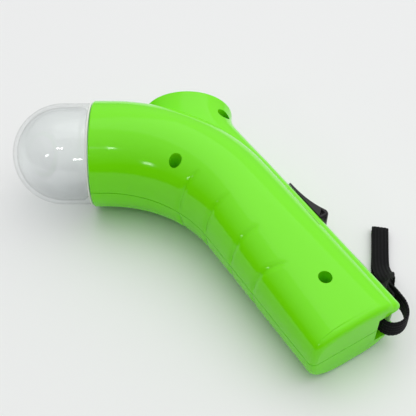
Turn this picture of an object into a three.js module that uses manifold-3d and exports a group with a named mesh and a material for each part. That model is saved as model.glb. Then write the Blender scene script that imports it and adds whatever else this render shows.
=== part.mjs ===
// Dog treat launcher: an elbow-shaped body of two shells with a clear treat dome, a spring striker
// and a wrist strap. Millimetres, +Z up. The body is modelled with its parting plane at z = 0,
// then tilted as it lies on a table.
import * as THREE from "three";
import { mergeVertices } from "three/addons/utils/BufferGeometryUtils.js";
import Module from "manifold-3d";

const wasm = await Module();
wasm.setup();

// Body: barrel along -X, handle turned away from +X by HANDLE_TURN, muzzle facing +Y
const CLEARANCE = 0.3;
const OVERRUN = 4;
const WALL = 2.3;
const BARREL_RADIUS = 22;
const MOUTH_REACH = 37.8;
const HANDLE_TURN = THREE.MathUtils.degToRad(58.1);
const HANDLE_REACH = 109;
const CROOK_SIDE = 16;
const BACK_SIDE = 21;
const CROOK_RADIUS = 48.6;
const BACK_RADIUS = 75.6;
const BUTT_HALF_THICKNESS = 12.8;
const WAIST_SAG = 0.5;
const BUTT_FILLET = 2.6;
const FILLET_SHARES = [0, 0.4, 0.75, 1];
const SECTION_POWER = 2;
const BUTT_SECTION_POWER = 3;

// Band behind the crease: an oval muzzle that turns along the neck into a spine on the handle's back
const SPINE_SIDE = 23.6;
const SPINE_WIDTH = 20;
const SPINE_HALF_THICKNESS = 10;
const SPINE_BUTT_HALF_THICKNESS = 9.6;
const SPINE_POWER = 2.8;
const SPINE_SETBACK = 0.3;
const SPINE_SHARES = [0, 0.33, 0.67, 1];
const MUZZLE_REACH = 23;
const MUZZLE_CENTRE = 0.3;
const MUZZLE_HALF_WIDTH = 19.2;
const MUZZLE_HALF_HEIGHT = 14.7;
const NECK_RADIUS = 21;
const NECK_REACH = 27;
const NECK_STATIONS = 9;

// Finger grooves on the crook side
const GROOVE_TOOL_RADIUS = 1.5;
const GROOVE_DEPTH = 0.6;
const GROOVE_STEPS = 8;
const GROOVES = [
  { startShare: 0.32, endShare: 0.392, reachShare: 0.37 },
  { startShare: 0.43, endShare: 0.515, reachShare: 0.39 },
  { startShare: 0.55, endShare: 0.636, reachShare: 0.44 },
  { startShare: 0.655, endShare: 0.768, reachShare: 0.44 },
];

// Treat dome and its gasket
const DOME_SETBACK = 1.1;
const DOME_WALL = 1.6;
const DOME_REACH = 71.5;
const DOME_NECK_LENGTH = 7;
const DOME_SHOULDER = 1.6;
const DOME_FACETS = 36;
const DOME_ARC_STEPS = 7;
const GASKET_THICKNESS = 0.8;
const GASKET_SETBACK = 0.6;

// Hopper funnel between the dome and the launch tube
const FUNNEL_WALL = 1.3;
const FUNNEL_FLANGE = 2;
const FUNNEL_CONE_END = 11;
const FUNNEL_SPOUT_END = 6;
const SPOUT_RADIUS = 8.3;
const PORT_RADIUS = 6.6;

// Launch tube, striker and spring, along the handle
const TUBE_SIDE = 8.5;
const TUBE_RADIUS = 8.4;
const TUBE_WALL = 1.2;
const TUBE_MUZZLE_REACH = 21;
const STRIKER_RADIUS = 6.9;
const STRIKER_WALL = 1.1;
const STRIKER_FRONT = -7;
const STRIKER_REAR = 52;
const STRIKER_HEAD = 3;
const PAD_RADIUS = 6.5;
const PAD_THICKNESS = 2.2;
const PAD_CHAMFER = 0.55;
const PAD_STEM_RADIUS = 1.6;
const PAD_STEM_LENGTH = 1.8;
const SLIDE_TRAVEL = 20;
const ARM_FRONT = 43;
const ARM_LENGTH = 6;
const ARM_HALF_WIDTH = 2.6;
const ARM_PIN_RADIUS = 1.5;
const SPRING_RADIUS = 4.5;
const SPRING_WIRE_RADIUS = 0.65;
const SPRING_TURNS = 14;
const SPRING_STEPS = 8;
const SPRING_SIDES = 5;
const CAP_PLUG_LENGTH = 4;
const CAP_FLANGE = 1.6;
const GUIDE_RADIUS = 3.2;
const GUIDE_CHAMFER = 1;
const GUIDE_REACH = 50;

// Thumb slide and the carriage under the handle's back
const CARRIAGE_SIDE = 17.6;
const CARRIAGE_THICKNESS = 2.3;
const CARRIAGE_HALF_WIDTH = 5;
const CARRIAGE_FRONT = 30;
const THUMB_FRONT = 40;
const THUMB_LENGTH = 21.4;
const THUMB_RISE = 4;
const THUMB_HALF_WIDTH = 6;
const THUMB_ROUND = 0.8;
const THUMB_ROUND_STEPS = 2;
const THUMB_TOE = 0.7;
const THUMB_DEPTH = 2;
const THUMB_CURVE_SHARES = [
  [0.48, 0.12],
  [0.72, 0.62],
  [0.88, 1],
];
const THUMB_HEEL_SHARE = 0.4;
const THUMB_CURVE_STEPS = 8;
const STEM_FRONT = 51;
const STEM_LENGTH = 8;
const STEM_HALF_WIDTH = 3;
const STEM_ENGAGEMENT = 1.7;

// Screws, their posts and the ribs that carry the tube
const SCREW_HEAD_RADIUS = 2.2;
const SCREW_CROWN_SHARE = 0.7;
const SCREW_HEAD_HEIGHT = 1.7;
const SCREW_SHANK_RADIUS = 1.2;
const SCREW_HOLE_RADIUS = 1.5;
const SCREW_SLOT_WIDTH = 0.7;
const SCREW_SLOT_DEPTH = 0.9;
const COUNTERBORE_RADIUS = 2.5;
const POST_RADIUS = 3.6;
const LOWER_POST_RADIUS = 3;
const ELBOW_SCREW_REACH = 3.4;
const ELBOW_SCREW_SIDE = 20.6;
const ELBOW_SCREW_SEAT = 8;
const ELBOW_SCREW_GRIP = 7;
const MUZZLE_SCREW_REACH = 14.4;
const MUZZLE_SCREW_SIDE = 15.7;
const MUZZLE_SCREW_SEAT = 3.5;
const MUZZLE_SCREW_GRIP = 5;
const HANDLE_SCREW_REACH = 88.6;
const HANDLE_SCREW_SIDE = 3.1;
const HANDLE_SCREW_SEAT = 6;
const HANDLE_SCREW_GRIP = 9;
const RIB_THICKNESS = 1.8;
const RIB_PLACES = [24, 68];
const RIB_REACH = 14;

// Muzzle face plate
const PLATE_THICKNESS = 2;
const PLATE_INSET = 2.4;

// Strap notch and post at the butt's back corner
const NOTCH_FRONT = 100.5;
const NOTCH_SIDE = 12;
const NOTCH_TOP = 6.1;
const NOTCH_BOTTOM = 6.4;
const NOTCH_WALL = 1.8;
const STRAP_POST_RADIUS = 1.9;
const STRAP_POST_SIDE = 19.4;
const STRAP_POST_REACH = 105.2;

// Wrist strap: flat webbing, a loop round the strap post that lies on the table, stitched to itself
const STRAP_WIDTH = 6.8;
const STRAP_THICKNESS = 1.2;
const STRAP_CORNER = 0.3;
const STRAP_STEPS = 2;
const STRAP_RUN = new THREE.Vector3(0.98, -0.19, 0);

// Facets
const BODY_SIDES = 32;
const BEND_STATIONS = 13;
const HANDLE_STATIONS = 4;
const BEND_START_SHARE = 0.04;
const BEND_END_SHARE = 0.52;
const ROUND_SIDES = 28;
const SMALL_SIDES = 12;

const UP = new THREE.Vector3(0, 0, 1);
const HANDLE = new THREE.Vector2(Math.cos(HANDLE_TURN), -Math.sin(HANDLE_TURN));
const ACROSS = new THREE.Vector2(Math.sin(HANDLE_TURN), Math.cos(HANDLE_TURN));

/** Turns a closed geometry into a solid with its faces out. */
function solidOf(geometry) {
  const bare = new THREE.BufferGeometry();
  const loose = geometry.index ? geometry.toNonIndexed() : geometry;
  bare.setAttribute("position", loose.getAttribute("position"));
  const merged = mergeVertices(bare, 1e-4);
  const at = merged.getAttribute("position").array;
  const faces = Array.from(merged.index.array);
  let volume = 0;
  const kept = [];
  for (let i = 0; i < faces.length; i += 3) {
    const [a, b, c] = faces.slice(i, i + 3);
    if (a === b || b === c || c === a) continue;
    kept.push(a, b, c);
    const corners = [a, b, c].map((k) => new THREE.Vector3().fromArray(at, k * 3));
    volume += corners[0].dot(corners[1].cross(corners[2]));
  }
  if (volume < 0) kept.reverse();
  const mesh = new wasm.Mesh({ numProp: 3, vertProperties: at, triVerts: new Uint32Array(kept) });
  return new wasm.Manifold(mesh);
}

/** Turns a solid back into a three.js geometry with flat normals. */
function geometryOf(solid) {
  const mesh = solid.getMesh();
  const geometry = new THREE.BufferGeometry();
  geometry.setAttribute("position", new THREE.BufferAttribute(mesh.vertProperties, 3));
  geometry.setIndex(new THREE.BufferAttribute(mesh.triVerts, 1));
  const flat = geometry.toNonIndexed();
  flat.computeVertexNormals();
  return flat;
}

function united(solids) {
  return solids.reduce((sum, solid) => sum.add(solid));
}

/** Plan position of a place along the handle (reach) and across it (side). */
function onHandle(reach, side) {
  return HANDLE.clone().multiplyScalar(reach).addScaledVector(ACROSS, side);
}

const handleFrame = new THREE.Matrix4().makeBasis(
  new THREE.Vector3(HANDLE.x, HANDLE.y, 0),
  new THREE.Vector3(ACROSS.x, ACROSS.y, 0),
  UP,
);

/** Frame whose Y axis is the given direction, at a place. */
function frameAlong(direction, place) {
  const y = direction.clone().normalize();
  const side = Math.abs(y.z) > Math.SQRT1_2 ? new THREE.Vector3(1, 0, 0) : UP;
  const x = new THREE.Vector3().crossVectors(y, side).normalize();
  const z = new THREE.Vector3().crossVectors(x, y);
  return new THREE.Matrix4().makeBasis(x, y, z).setPosition(place);
}

const barrelFrame = frameAlong(new THREE.Vector3(1, 0, 0), new THREE.Vector3());
const tubeCentre = onHandle(0, TUBE_SIDE);
const tubeFrame = frameAlong(
  new THREE.Vector3(HANDLE.x, HANDLE.y, 0),
  new THREE.Vector3(tubeCentre.x, tubeCentre.y, 0),
);

/** Solid of revolution from [radius, station] pairs, along a frame's Y axis. */
function turned(profile, frame, sides = ROUND_SIDES) {
  const points = profile.map(([radius, station]) => new THREE.Vector2(radius, station));
  return solidOf(new THREE.LatheGeometry(points, sides).applyMatrix4(frame));
}

function rod(radius, from, to, frame, sides = ROUND_SIDES) {
  const profile = [
    [0, from],
    [radius, from],
    [radius, to],
    [0, to],
  ];
  return turned(profile, frame, sides);
}

/** Box between two opposite corners of a frame. */
function block(from, to, frame = new THREE.Matrix4()) {
  const size = to.map((value, i) => value - from[i]);
  const geometry = new THREE.BoxGeometry(...size);
  const centre = from.map((value, i) => value + size[i] / 2);
  geometry.translate(...centre);
  return solidOf(geometry.applyMatrix4(frame));
}

/** Plan path of two straight runs joined by an arc. */
function filletPath(start, corner, end, radius) {
  const inward = corner.clone().sub(start).normalize();
  const outward = end.clone().sub(corner).normalize();
  const turn = Math.acos(inward.dot(outward));
  const tangent = radius * Math.tan(turn / 2);
  const side = Math.sign(inward.cross(outward));
  const bendStart = corner.clone().addScaledVector(inward, -tangent);
  const bendEnd = corner.clone().addScaledVector(outward, tangent);
  const centre = bendStart.clone().addScaledVector(new THREE.Vector2(-inward.y, inward.x), side * radius);
  const angle = Math.atan2(bendStart.y - centre.y, bendStart.x - centre.x);
  const path = new THREE.CurvePath();
  path.add(new THREE.LineCurve(start, bendStart));
  path.add(new THREE.EllipseCurve(centre.x, centre.y, radius, radius, angle, angle + side * turn, side < 0));
  path.add(new THREE.LineCurve(bendEnd, end));
  return path;
}

/** Point on an oval section: from and to are its plan ends, and lift grows it all round. */
function sectionPoint({ from, to, half, power }, angle, lift = 0) {
  const across = to.clone().sub(from);
  const reach = across.length() / 2 + lift;
  const bend = 2 / power;
  const u = Math.sign(Math.cos(angle)) * Math.abs(Math.cos(angle)) ** bend;
  const v = Math.sign(Math.sin(angle)) * Math.abs(Math.sin(angle)) ** bend;
  const centre = from.clone().add(to).multiplyScalar(1 / 2);
  centre.addScaledVector(across.normalize(), u * reach);
  return new THREE.Vector3(centre.x, centre.y, v * (half + lift));
}

/** Closed solid through a row of oval sections. */
function loft(sections, lift = 0, sides = BODY_SIDES) {
  const points = [];
  for (const section of sections) {
    for (let j = 0; j < sides; j += 1) {
      points.push(sectionPoint(section, (2 * Math.PI * (j + 1 / 2)) / sides, lift));
    }
  }
  const faces = [];
  for (let i = 0; i + 1 < sections.length; i += 1) {
    for (let j = 0; j < sides; j += 1) {
      const next = (j + 1) % sides;
      const [a, b] = [i * sides + j, i * sides + next];
      faces.push(a, b, b + sides, a, b + sides, a + sides);
    }
  }
  for (const ring of [0, sections.length - 1]) {
    const middle = sections[ring].from.clone().add(sections[ring].to).multiplyScalar(1 / 2);
    points.push(new THREE.Vector3(middle.x, middle.y, 0));
    for (let j = 0; j < sides; j += 1) {
      const pair = [ring * sides + j, ring * sides + ((j + 1) % sides)];
      if (ring === 0) pair.reverse();
      faces.push(points.length - 1, ...pair);
    }
  }
  const geometry = new THREE.BufferGeometry().setFromPoints(points);
  geometry.setIndex(faces);
  return solidOf(geometry);
}

// Body outline in plan
function lineCorner(level, side) {
  return new THREE.Vector2((side - level * ACROSS.y) / ACROSS.x, level);
}

const crookPath = filletPath(
  new THREE.Vector2(-MOUTH_REACH, -BARREL_RADIUS),
  lineCorner(-BARREL_RADIUS, -CROOK_SIDE),
  onHandle(HANDLE_REACH, -CROOK_SIDE),
  CROOK_RADIUS,
);
const backPath = filletPath(
  new THREE.Vector2(-MOUTH_REACH, BARREL_RADIUS),
  lineCorner(BARREL_RADIUS, BACK_SIDE),
  onHandle(HANDLE_REACH, BACK_SIDE),
  BACK_RADIUS,
);
const buttCentre = onHandle(HANDLE_REACH, (BACK_SIDE - CROOK_SIDE) / 2);
const TAPER = (BARREL_RADIUS - BUTT_HALF_THICKNESS) / -buttCentre.y;

function mainSection(share) {
  const from = crookPath.getPoint(share);
  const to = backPath.getPoint(share);
  const depth = -Math.min(0, (from.y + to.y) / 2);
  const sag = WAIST_SAG * Math.sin((Math.PI * depth) / -buttCentre.y);
  const half = BARREL_RADIUS - TAPER * depth - sag;
  const power = THREE.MathUtils.lerp(SECTION_POWER, BUTT_SECTION_POWER, share ** 2);
  return { from, to, half, power };
}

/** The same section, smaller all round. */
function inset(section, by) {
  const along = section.to.clone().sub(section.from).normalize().multiplyScalar(by);
  const from = section.from.clone().add(along);
  const to = section.to.clone().sub(along);
  return { ...section, from, to, half: section.half - by };
}

/** The same section, moved in plan. */
function moved(section, move) {
  return { ...section, from: section.from.clone().add(move), to: section.to.clone().add(move) };
}

function roundedEnd(section, radius) {
  return FILLET_SHARES.map((share) => {
    const rise = radius * Math.sin((share * Math.PI) / 2);
    const draw = radius * (1 - Math.cos((share * Math.PI) / 2));
    return inset(moved(section, HANDLE.clone().multiplyScalar(rise - radius)), draw);
  });
}

function mainSections() {
  const bend = Array.from({ length: BEND_STATIONS }, (_, i) =>
    THREE.MathUtils.lerp(BEND_START_SHARE, BEND_END_SHARE, i / (BEND_STATIONS - 1)),
  );
  const filletShare = 1 - BUTT_FILLET / crookPath.getLength();
  const handle = Array.from({ length: HANDLE_STATIONS }, (_, i) =>
    THREE.MathUtils.lerp(BEND_END_SHARE, filletShare, (i + 1) / HANDLE_STATIONS),
  );
  return [...[0, ...bend, ...handle].map(mainSection), ...roundedEnd(mainSection(1), BUTT_FILLET)];
}

const muzzleRight = new THREE.Vector2(MUZZLE_CENTRE + MUZZLE_HALF_WIDTH, MUZZLE_REACH);
const muzzleLeft = new THREE.Vector2(MUZZLE_CENTRE - MUZZLE_HALF_WIDTH, MUZZLE_REACH);
const neckPath = filletPath(
  muzzleRight,
  new THREE.Vector2(muzzleRight.x, (SPINE_SIDE - ACROSS.x * muzzleRight.x) / ACROSS.y),
  onHandle(NECK_REACH, SPINE_SIDE),
  NECK_RADIUS,
);
const neckRoot = new THREE.QuadraticBezierCurve(
  muzzleLeft,
  new THREE.Vector2(muzzleLeft.x, 0),
  onHandle(NECK_REACH, SPINE_SIDE - SPINE_WIDTH),
);

function neckSection(share) {
  return {
    from: neckRoot.getPoint(share),
    to: neckPath.getPoint(share),
    half: THREE.MathUtils.lerp(MUZZLE_HALF_HEIGHT, spineHalf(NECK_REACH), share),
    power: THREE.MathUtils.lerp(SECTION_POWER, SPINE_POWER, share),
  };
}

function spineHalf(reach) {
  return THREE.MathUtils.lerp(SPINE_HALF_THICKNESS, SPINE_BUTT_HALF_THICKNESS, reach / HANDLE_REACH);
}

function spineSection(reach) {
  const from = onHandle(reach, SPINE_SIDE - SPINE_WIDTH);
  return { from, to: onHandle(reach, SPINE_SIDE), half: spineHalf(reach), power: SPINE_POWER };
}

function bandSections() {
  const neck = Array.from({ length: NECK_STATIONS }, (_, i) => neckSection(i / NECK_STATIONS));
  const spine = SPINE_SHARES.map((share) =>
    spineSection(THREE.MathUtils.lerp(NECK_REACH, NOTCH_FRONT - NOTCH_WALL, share)),
  );
  return [...neck, ...spine, ...roundedEnd(spineSection(HANDLE_REACH - SPINE_SETBACK), BUTT_FILLET)];
}

/** Thin rod whose axis is a curve through points. */
function sweptRod(points, radius, steps, sides) {
  const circle = new THREE.Shape().absarc(0, 0, radius, 0, 2 * Math.PI);
  const outline = new THREE.Shape(circle.getSpacedPoints(sides).slice(0, sides));
  const path = new THREE.CatmullRomCurve3(points, false, "centripetal");
  return solidOf(new THREE.ExtrudeGeometry(outline, { steps, bevelEnabled: false, extrudePath: path }));
}

/** Tool that cuts one finger groove round the crook, from one face to the other. */
function grooveTool({ startShare, endShare, reachShare }) {
  const points = [];
  for (let i = -GROOVE_STEPS; i <= GROOVE_STEPS; i += 1) {
    const along = i / GROOVE_STEPS;
    const share = THREE.MathUtils.lerp(startShare, endShare, along ** 2);
    const fade = 1 - Math.abs(along) ** 4;
    const lift = GROOVE_TOOL_RADIUS - GROOVE_DEPTH * fade + CLEARANCE * (1 - fade);
    points.push(sectionPoint(mainSection(share), Math.PI * (1 + along * reachShare), lift));
  }
  return sweptRod(points, GROOVE_TOOL_RADIUS, 2 * GROOVE_STEPS, SMALL_SIDES);
}

const mainRow = mainSections();
const bandRow = bandSections();
const outerForm = loft(mainRow).add(loft(bandRow));

/** Room inside the walls, open at the barrel's mouth and at the muzzle. */
function cavity() {
  const barrel = mainRow.map((section) => inset(section, WALL));
  const band = bandRow.map((section) => inset(section, WALL));
  const mouth = moved(barrel[0], new THREE.Vector2(-OVERRUN, 0));
  const rim = moved(band[0], new THREE.Vector2(0, OVERRUN));
  const barrelRoom = loft([mouth, ...barrel.slice(0, -FILLET_SHARES.length)]);
  return barrelRoom.add(loft([rim, ...band.slice(0, -FILLET_SHARES.length)]));
}

const hollow = cavity();
const farAway = 2 * HANDLE_REACH;
const upperHalf = block([-farAway, -farAway, CLEARANCE / 2], [farAway, farAway, farAway]);
const lowerHalf = block([-farAway, -farAway, -farAway], [farAway, farAway, -CLEARANCE / 2]);

// Cuts that both shells share
const slideSlot = block(
  [STEM_FRONT - CLEARANCE, CARRIAGE_SIDE, -STEM_HALF_WIDTH - CLEARANCE],
  [STEM_FRONT + STEM_LENGTH + SLIDE_TRAVEL + CLEARANCE, SPINE_SIDE + OVERRUN, STEM_HALF_WIDTH + CLEARANCE],
  handleFrame,
);
const notch = block(
  [NOTCH_FRONT, NOTCH_SIDE, -NOTCH_BOTTOM],
  [HANDLE_REACH + OVERRUN, SPINE_SIDE + OVERRUN, NOTCH_TOP],
  handleFrame,
);
const notchLining = block(
  [NOTCH_FRONT - NOTCH_WALL, NOTCH_SIDE - NOTCH_WALL, -NOTCH_BOTTOM - NOTCH_WALL],
  [HANDLE_REACH + OVERRUN, SPINE_SIDE + OVERRUN, NOTCH_TOP + NOTCH_WALL],
  handleFrame,
);
const tubeEnd = HANDLE_SCREW_REACH - POST_RADIUS - CAP_FLANGE - 3 * CLEARANCE;
const tubeSpace = rod(TUBE_RADIUS + CLEARANCE, -HANDLE_REACH, tubeEnd + CLEARANCE, tubeFrame);
function ribs() {
  const slabs = RIB_PLACES.map((place) =>
    block(
      [place - RIB_THICKNESS / 2, -CROOK_SIDE, -BARREL_RADIUS],
      [place + RIB_THICKNESS / 2, RIB_REACH, BARREL_RADIUS],
      handleFrame,
    ),
  );
  return united(slabs).subtract(tubeSpace);
}

const cuts = united([slideSlot, notch, ...GROOVES.map(grooveTool)]);
const handleScrew = onHandle(HANDLE_SCREW_REACH, HANDLE_SCREW_SIDE);
const screwPlaces = [
  {
    name: "elbow_screw",
    x: -ELBOW_SCREW_REACH,
    y: -ELBOW_SCREW_SIDE,
    seat: ELBOW_SCREW_SEAT,
    grip: ELBOW_SCREW_GRIP,
  },
  {
    name: "muzzle_screw",
    x: MUZZLE_SCREW_SIDE,
    y: MUZZLE_SCREW_REACH,
    seat: MUZZLE_SCREW_SEAT,
    grip: MUZZLE_SCREW_GRIP,
  },
  {
    name: "handle_screw",
    x: handleScrew.x,
    y: handleScrew.y,
    seat: HANDLE_SCREW_SEAT,
    grip: HANDLE_SCREW_GRIP,
  },
];

/** Both shells in one, with screw posts of a radius left standing in the hollow. */
function shellWithPosts(radius) {
  const posts = screwPlaces.map((place) =>
    rod(radius, -2 * BARREL_RADIUS, 2 * BARREL_RADIUS, screwFrame(place), 2 * SMALL_SIDES),
  );
  const room = hollow.subtract(united([ribs(), notchLining, ...posts]));
  return outerForm.subtract(room).subtract(cuts);
}

function screwFrame({ x, y }) {
  return frameAlong(UP, new THREE.Vector3(x, y, 0));
}

function upperShell() {
  let half = shellWithPosts(POST_RADIUS).intersect(upperHalf);
  for (const place of screwPlaces) {
    const frame = screwFrame(place);
    half = half.subtract(rod(COUNTERBORE_RADIUS, place.seat, BARREL_RADIUS, frame, 2 * SMALL_SIDES));
    half = half.subtract(rod(SCREW_HOLE_RADIUS, -OVERRUN, BARREL_RADIUS, frame, SMALL_SIDES));
  }
  return half;
}

function lowerShell() {
  let half = shellWithPosts(LOWER_POST_RADIUS).intersect(lowerHalf);
  for (const place of screwPlaces) {
    const pilot = -place.grip - CLEARANCE;
    half = half.subtract(rod(SCREW_HOLE_RADIUS, pilot, OVERRUN, screwFrame(place), SMALL_SIDES));
  }
  const postPlace = onHandle(STRAP_POST_REACH, STRAP_POST_SIDE);
  const postFrame = frameAlong(UP, new THREE.Vector3(postPlace.x, postPlace.y, 0));
  const postFoot = -NOTCH_BOTTOM - NOTCH_WALL / 2;
  return half.add(rod(STRAP_POST_RADIUS, postFoot, NOTCH_TOP - CLEARANCE, postFrame, SMALL_SIDES));
}

/** Self-tapping screw with a slotted pan head, seated in its counterbore. */
function screw(place) {
  const frame = screwFrame(place);
  const bottom = place.seat + CLEARANCE;
  const top = bottom + SCREW_HEAD_HEIGHT;
  const profile = [
    [0, -place.grip],
    [SCREW_SHANK_RADIUS, -place.grip + SCREW_SHANK_RADIUS],
    [SCREW_SHANK_RADIUS, bottom],
    [SCREW_HEAD_RADIUS, bottom],
    [SCREW_HEAD_RADIUS, (bottom + top) / 2],
    [SCREW_HEAD_RADIUS * SCREW_CROWN_SHARE, top],
    [0, top],
  ];
  const slot = block(
    [-SCREW_HEAD_RADIUS - CLEARANCE, top - SCREW_SLOT_DEPTH, -SCREW_SLOT_WIDTH / 2],
    [SCREW_HEAD_RADIUS + CLEARANCE, top + OVERRUN, SCREW_SLOT_WIDTH / 2],
    frame,
  );
  const across = block(
    [-SCREW_SLOT_WIDTH / 2, top - SCREW_SLOT_DEPTH, -SCREW_HEAD_RADIUS - CLEARANCE],
    [SCREW_SLOT_WIDTH / 2, top + OVERRUN, SCREW_HEAD_RADIUS + CLEARANCE],
    frame,
  );
  return turned(profile, frame, SMALL_SIDES).subtract(slot).subtract(across);
}

// Treat dome, gasket and hopper
const gasketFront = -MOUTH_REACH - CLEARANCE - GASKET_THICKNESS;
const domeRadius = BARREL_RADIUS - DOME_SETBACK;
const domeBase = gasketFront - CLEARANCE;
const domeNeckRadius = BARREL_RADIUS - WALL - CLEARANCE;
const domeNeckEnd = -MOUTH_REACH + DOME_NECK_LENGTH;

function arcPoints(radius, centre) {
  return Array.from({ length: DOME_ARC_STEPS + 1 }, (_, i) => {
    const angle = (Math.PI / 2) * (i / DOME_ARC_STEPS);
    return [radius * Math.sin(angle), centre - radius * Math.cos(angle)];
  });
}

function dome() {
  const centre = domeRadius - DOME_REACH;
  const outer = arcPoints(domeRadius, centre);
  const inner = arcPoints(domeRadius - DOME_WALL, centre).reverse();
  inner[inner.length - 1][0] = 0;
  outer[0][0] = 0;
  const neck = domeNeckRadius - DOME_WALL;
  const profile = [
    ...outer,
    [domeRadius, domeBase],
    [domeNeckRadius, domeBase],
    [domeNeckRadius, domeNeckEnd],
    [neck, domeNeckEnd],
    [neck, domeBase - DOME_SHOULDER],
    [domeRadius - DOME_WALL, domeBase - DOME_SHOULDER],
    ...inner,
  ];
  return turned(profile, barrelFrame, DOME_FACETS);
}

function gasket() {
  const back = gasketFront + GASKET_THICKNESS;
  const outer = BARREL_RADIUS - GASKET_SETBACK;
  const inner = domeNeckRadius + CLEARANCE;
  const profile = [
    [inner, gasketFront],
    [outer, gasketFront],
    [outer, back],
    [inner, back],
    [inner, gasketFront],
  ];
  return turned(profile, barrelFrame, DOME_FACETS);
}

function funnel() {
  const front = domeNeckEnd + CLEARANCE;
  const flange = BARREL_RADIUS - WALL - CLEARANCE;
  const spout = SPOUT_RADIUS - FUNNEL_WALL;
  const profile = [
    [flange - FUNNEL_WALL, front],
    [flange, front],
    [flange, front + FUNNEL_FLANGE],
    [SPOUT_RADIUS, -FUNNEL_CONE_END],
    [SPOUT_RADIUS, FUNNEL_SPOUT_END],
    [spout, FUNNEL_SPOUT_END],
    [spout, -FUNNEL_CONE_END],
    [flange - FUNNEL_WALL, front + FUNNEL_FLANGE / 2],
    [flange - FUNNEL_WALL, front],
  ];
  return turned(profile, barrelFrame, ROUND_SIDES).subtract(tubeSpace);
}

// Launch tube, striker, spring and their end pieces
const mouthPlane = block([-farAway, -farAway, -farAway], [farAway, TUBE_MUZZLE_REACH, farAway]);
const armRear = ARM_FRONT + ARM_LENGTH;

function launchTube() {
  const bore = TUBE_RADIUS - TUBE_WALL;
  const profile = [
    [bore, -HANDLE_REACH / 2],
    [TUBE_RADIUS, -HANDLE_REACH / 2],
    [TUBE_RADIUS, tubeEnd],
    [bore, tubeEnd],
    [bore, -HANDLE_REACH / 2],
  ];
  const port = rod(PORT_RADIUS, -BARREL_RADIUS, TUBE_RADIUS, barrelFrame, ROUND_SIDES);
  const slot = block(
    [ARM_FRONT - CLEARANCE, TUBE_SIDE, -ARM_HALF_WIDTH - CLEARANCE],
    [armRear + SLIDE_TRAVEL + CLEARANCE, SPINE_SIDE, ARM_HALF_WIDTH + CLEARANCE],
    handleFrame,
  );
  return turned(profile, tubeFrame).intersect(mouthPlane).subtract(port).subtract(slot);
}

function striker() {
  const bore = STRIKER_RADIUS - STRIKER_WALL;
  const headBack = STRIKER_FRONT + STRIKER_HEAD;
  const profile = [
    [0, STRIKER_FRONT],
    [STRIKER_RADIUS, STRIKER_FRONT],
    [STRIKER_RADIUS, STRIKER_REAR],
    [bore, STRIKER_REAR],
    [bore, headBack],
    [0, headBack],
  ];
  const socket = rod(
    PAD_STEM_RADIUS + CLEARANCE,
    STRIKER_FRONT - OVERRUN,
    STRIKER_FRONT + PAD_STEM_LENGTH,
    tubeFrame,
    SMALL_SIDES,
  );
  const arm = block(
    [ARM_FRONT, TUBE_SIDE + bore + STRIKER_WALL / 2, -ARM_HALF_WIDTH],
    [armRear, CARRIAGE_SIDE - CLEARANCE, ARM_HALF_WIDTH],
    handleFrame,
  );
  const pinPlace = onHandle(ARM_FRONT + ARM_LENGTH / 2, 0);
  const pinFrame = frameAlong(
    new THREE.Vector3(ACROSS.x, ACROSS.y, 0),
    new THREE.Vector3(pinPlace.x, pinPlace.y, 0),
  );
  const pinTop = CARRIAGE_SIDE + CARRIAGE_THICKNESS / 2;
  const pin = rod(ARM_PIN_RADIUS, CARRIAGE_SIDE - OVERRUN / 2, pinTop, pinFrame, SMALL_SIDES);
  return turned(profile, tubeFrame).subtract(socket).add(arm).add(pin);
}

function strikerPad() {
  const back = STRIKER_FRONT - CLEARANCE;
  const profile = [
    [0, back - PAD_THICKNESS],
    [PAD_RADIUS - PAD_CHAMFER, back - PAD_THICKNESS],
    [PAD_RADIUS, back - PAD_THICKNESS + PAD_CHAMFER],
    [PAD_RADIUS, back],
    [PAD_STEM_RADIUS, back],
    [PAD_STEM_RADIUS, STRIKER_FRONT + PAD_STEM_LENGTH - CLEARANCE],
    [0, STRIKER_FRONT + PAD_STEM_LENGTH - CLEARANCE],
  ];
  return turned(profile, tubeFrame);
}

const springFront = STRIKER_FRONT + STRIKER_HEAD + CLEARANCE + SPRING_WIRE_RADIUS;
const capFront = tubeEnd - CAP_PLUG_LENGTH;
const springRear = capFront - CLEARANCE - SPRING_WIRE_RADIUS;

/** Helical spring as one unbroken tube, each ring of points turned with the helix. */
function mainSpring() {
  const count = SPRING_TURNS * SPRING_STEPS;
  const points = [];
  const faces = [];
  for (let i = 0; i <= count; i += 1) {
    const angle = (2 * Math.PI * i) / SPRING_STEPS;
    const station = THREE.MathUtils.lerp(springFront, springRear, i / count);
    const outward = new THREE.Vector3(Math.cos(angle), 0, Math.sin(angle));
    for (let j = 0; j < SPRING_SIDES; j += 1) {
      const turn = (2 * Math.PI * j) / SPRING_SIDES;
      const point = outward.clone().multiplyScalar(SPRING_RADIUS + SPRING_WIRE_RADIUS * Math.cos(turn));
      point.y = station + SPRING_WIRE_RADIUS * Math.sin(turn);
      points.push(point);
    }
  }
  for (let i = 0; i < count; i += 1) {
    for (let j = 0; j < SPRING_SIDES; j += 1) {
      const next = (j + 1) % SPRING_SIDES;
      const [a, b] = [i * SPRING_SIDES + j, i * SPRING_SIDES + next];
      faces.push(a, b, b + SPRING_SIDES, a, b + SPRING_SIDES, a + SPRING_SIDES);
    }
  }
  for (let j = 1; j + 1 < SPRING_SIDES; j += 1) {
    const end = count * SPRING_SIDES;
    faces.push(0, j + 1, j, end, end + j, end + j + 1);
  }
  const geometry = new THREE.BufferGeometry().setFromPoints(points);
  geometry.setIndex(faces);
  return solidOf(geometry.applyMatrix4(tubeFrame));
}

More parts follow.
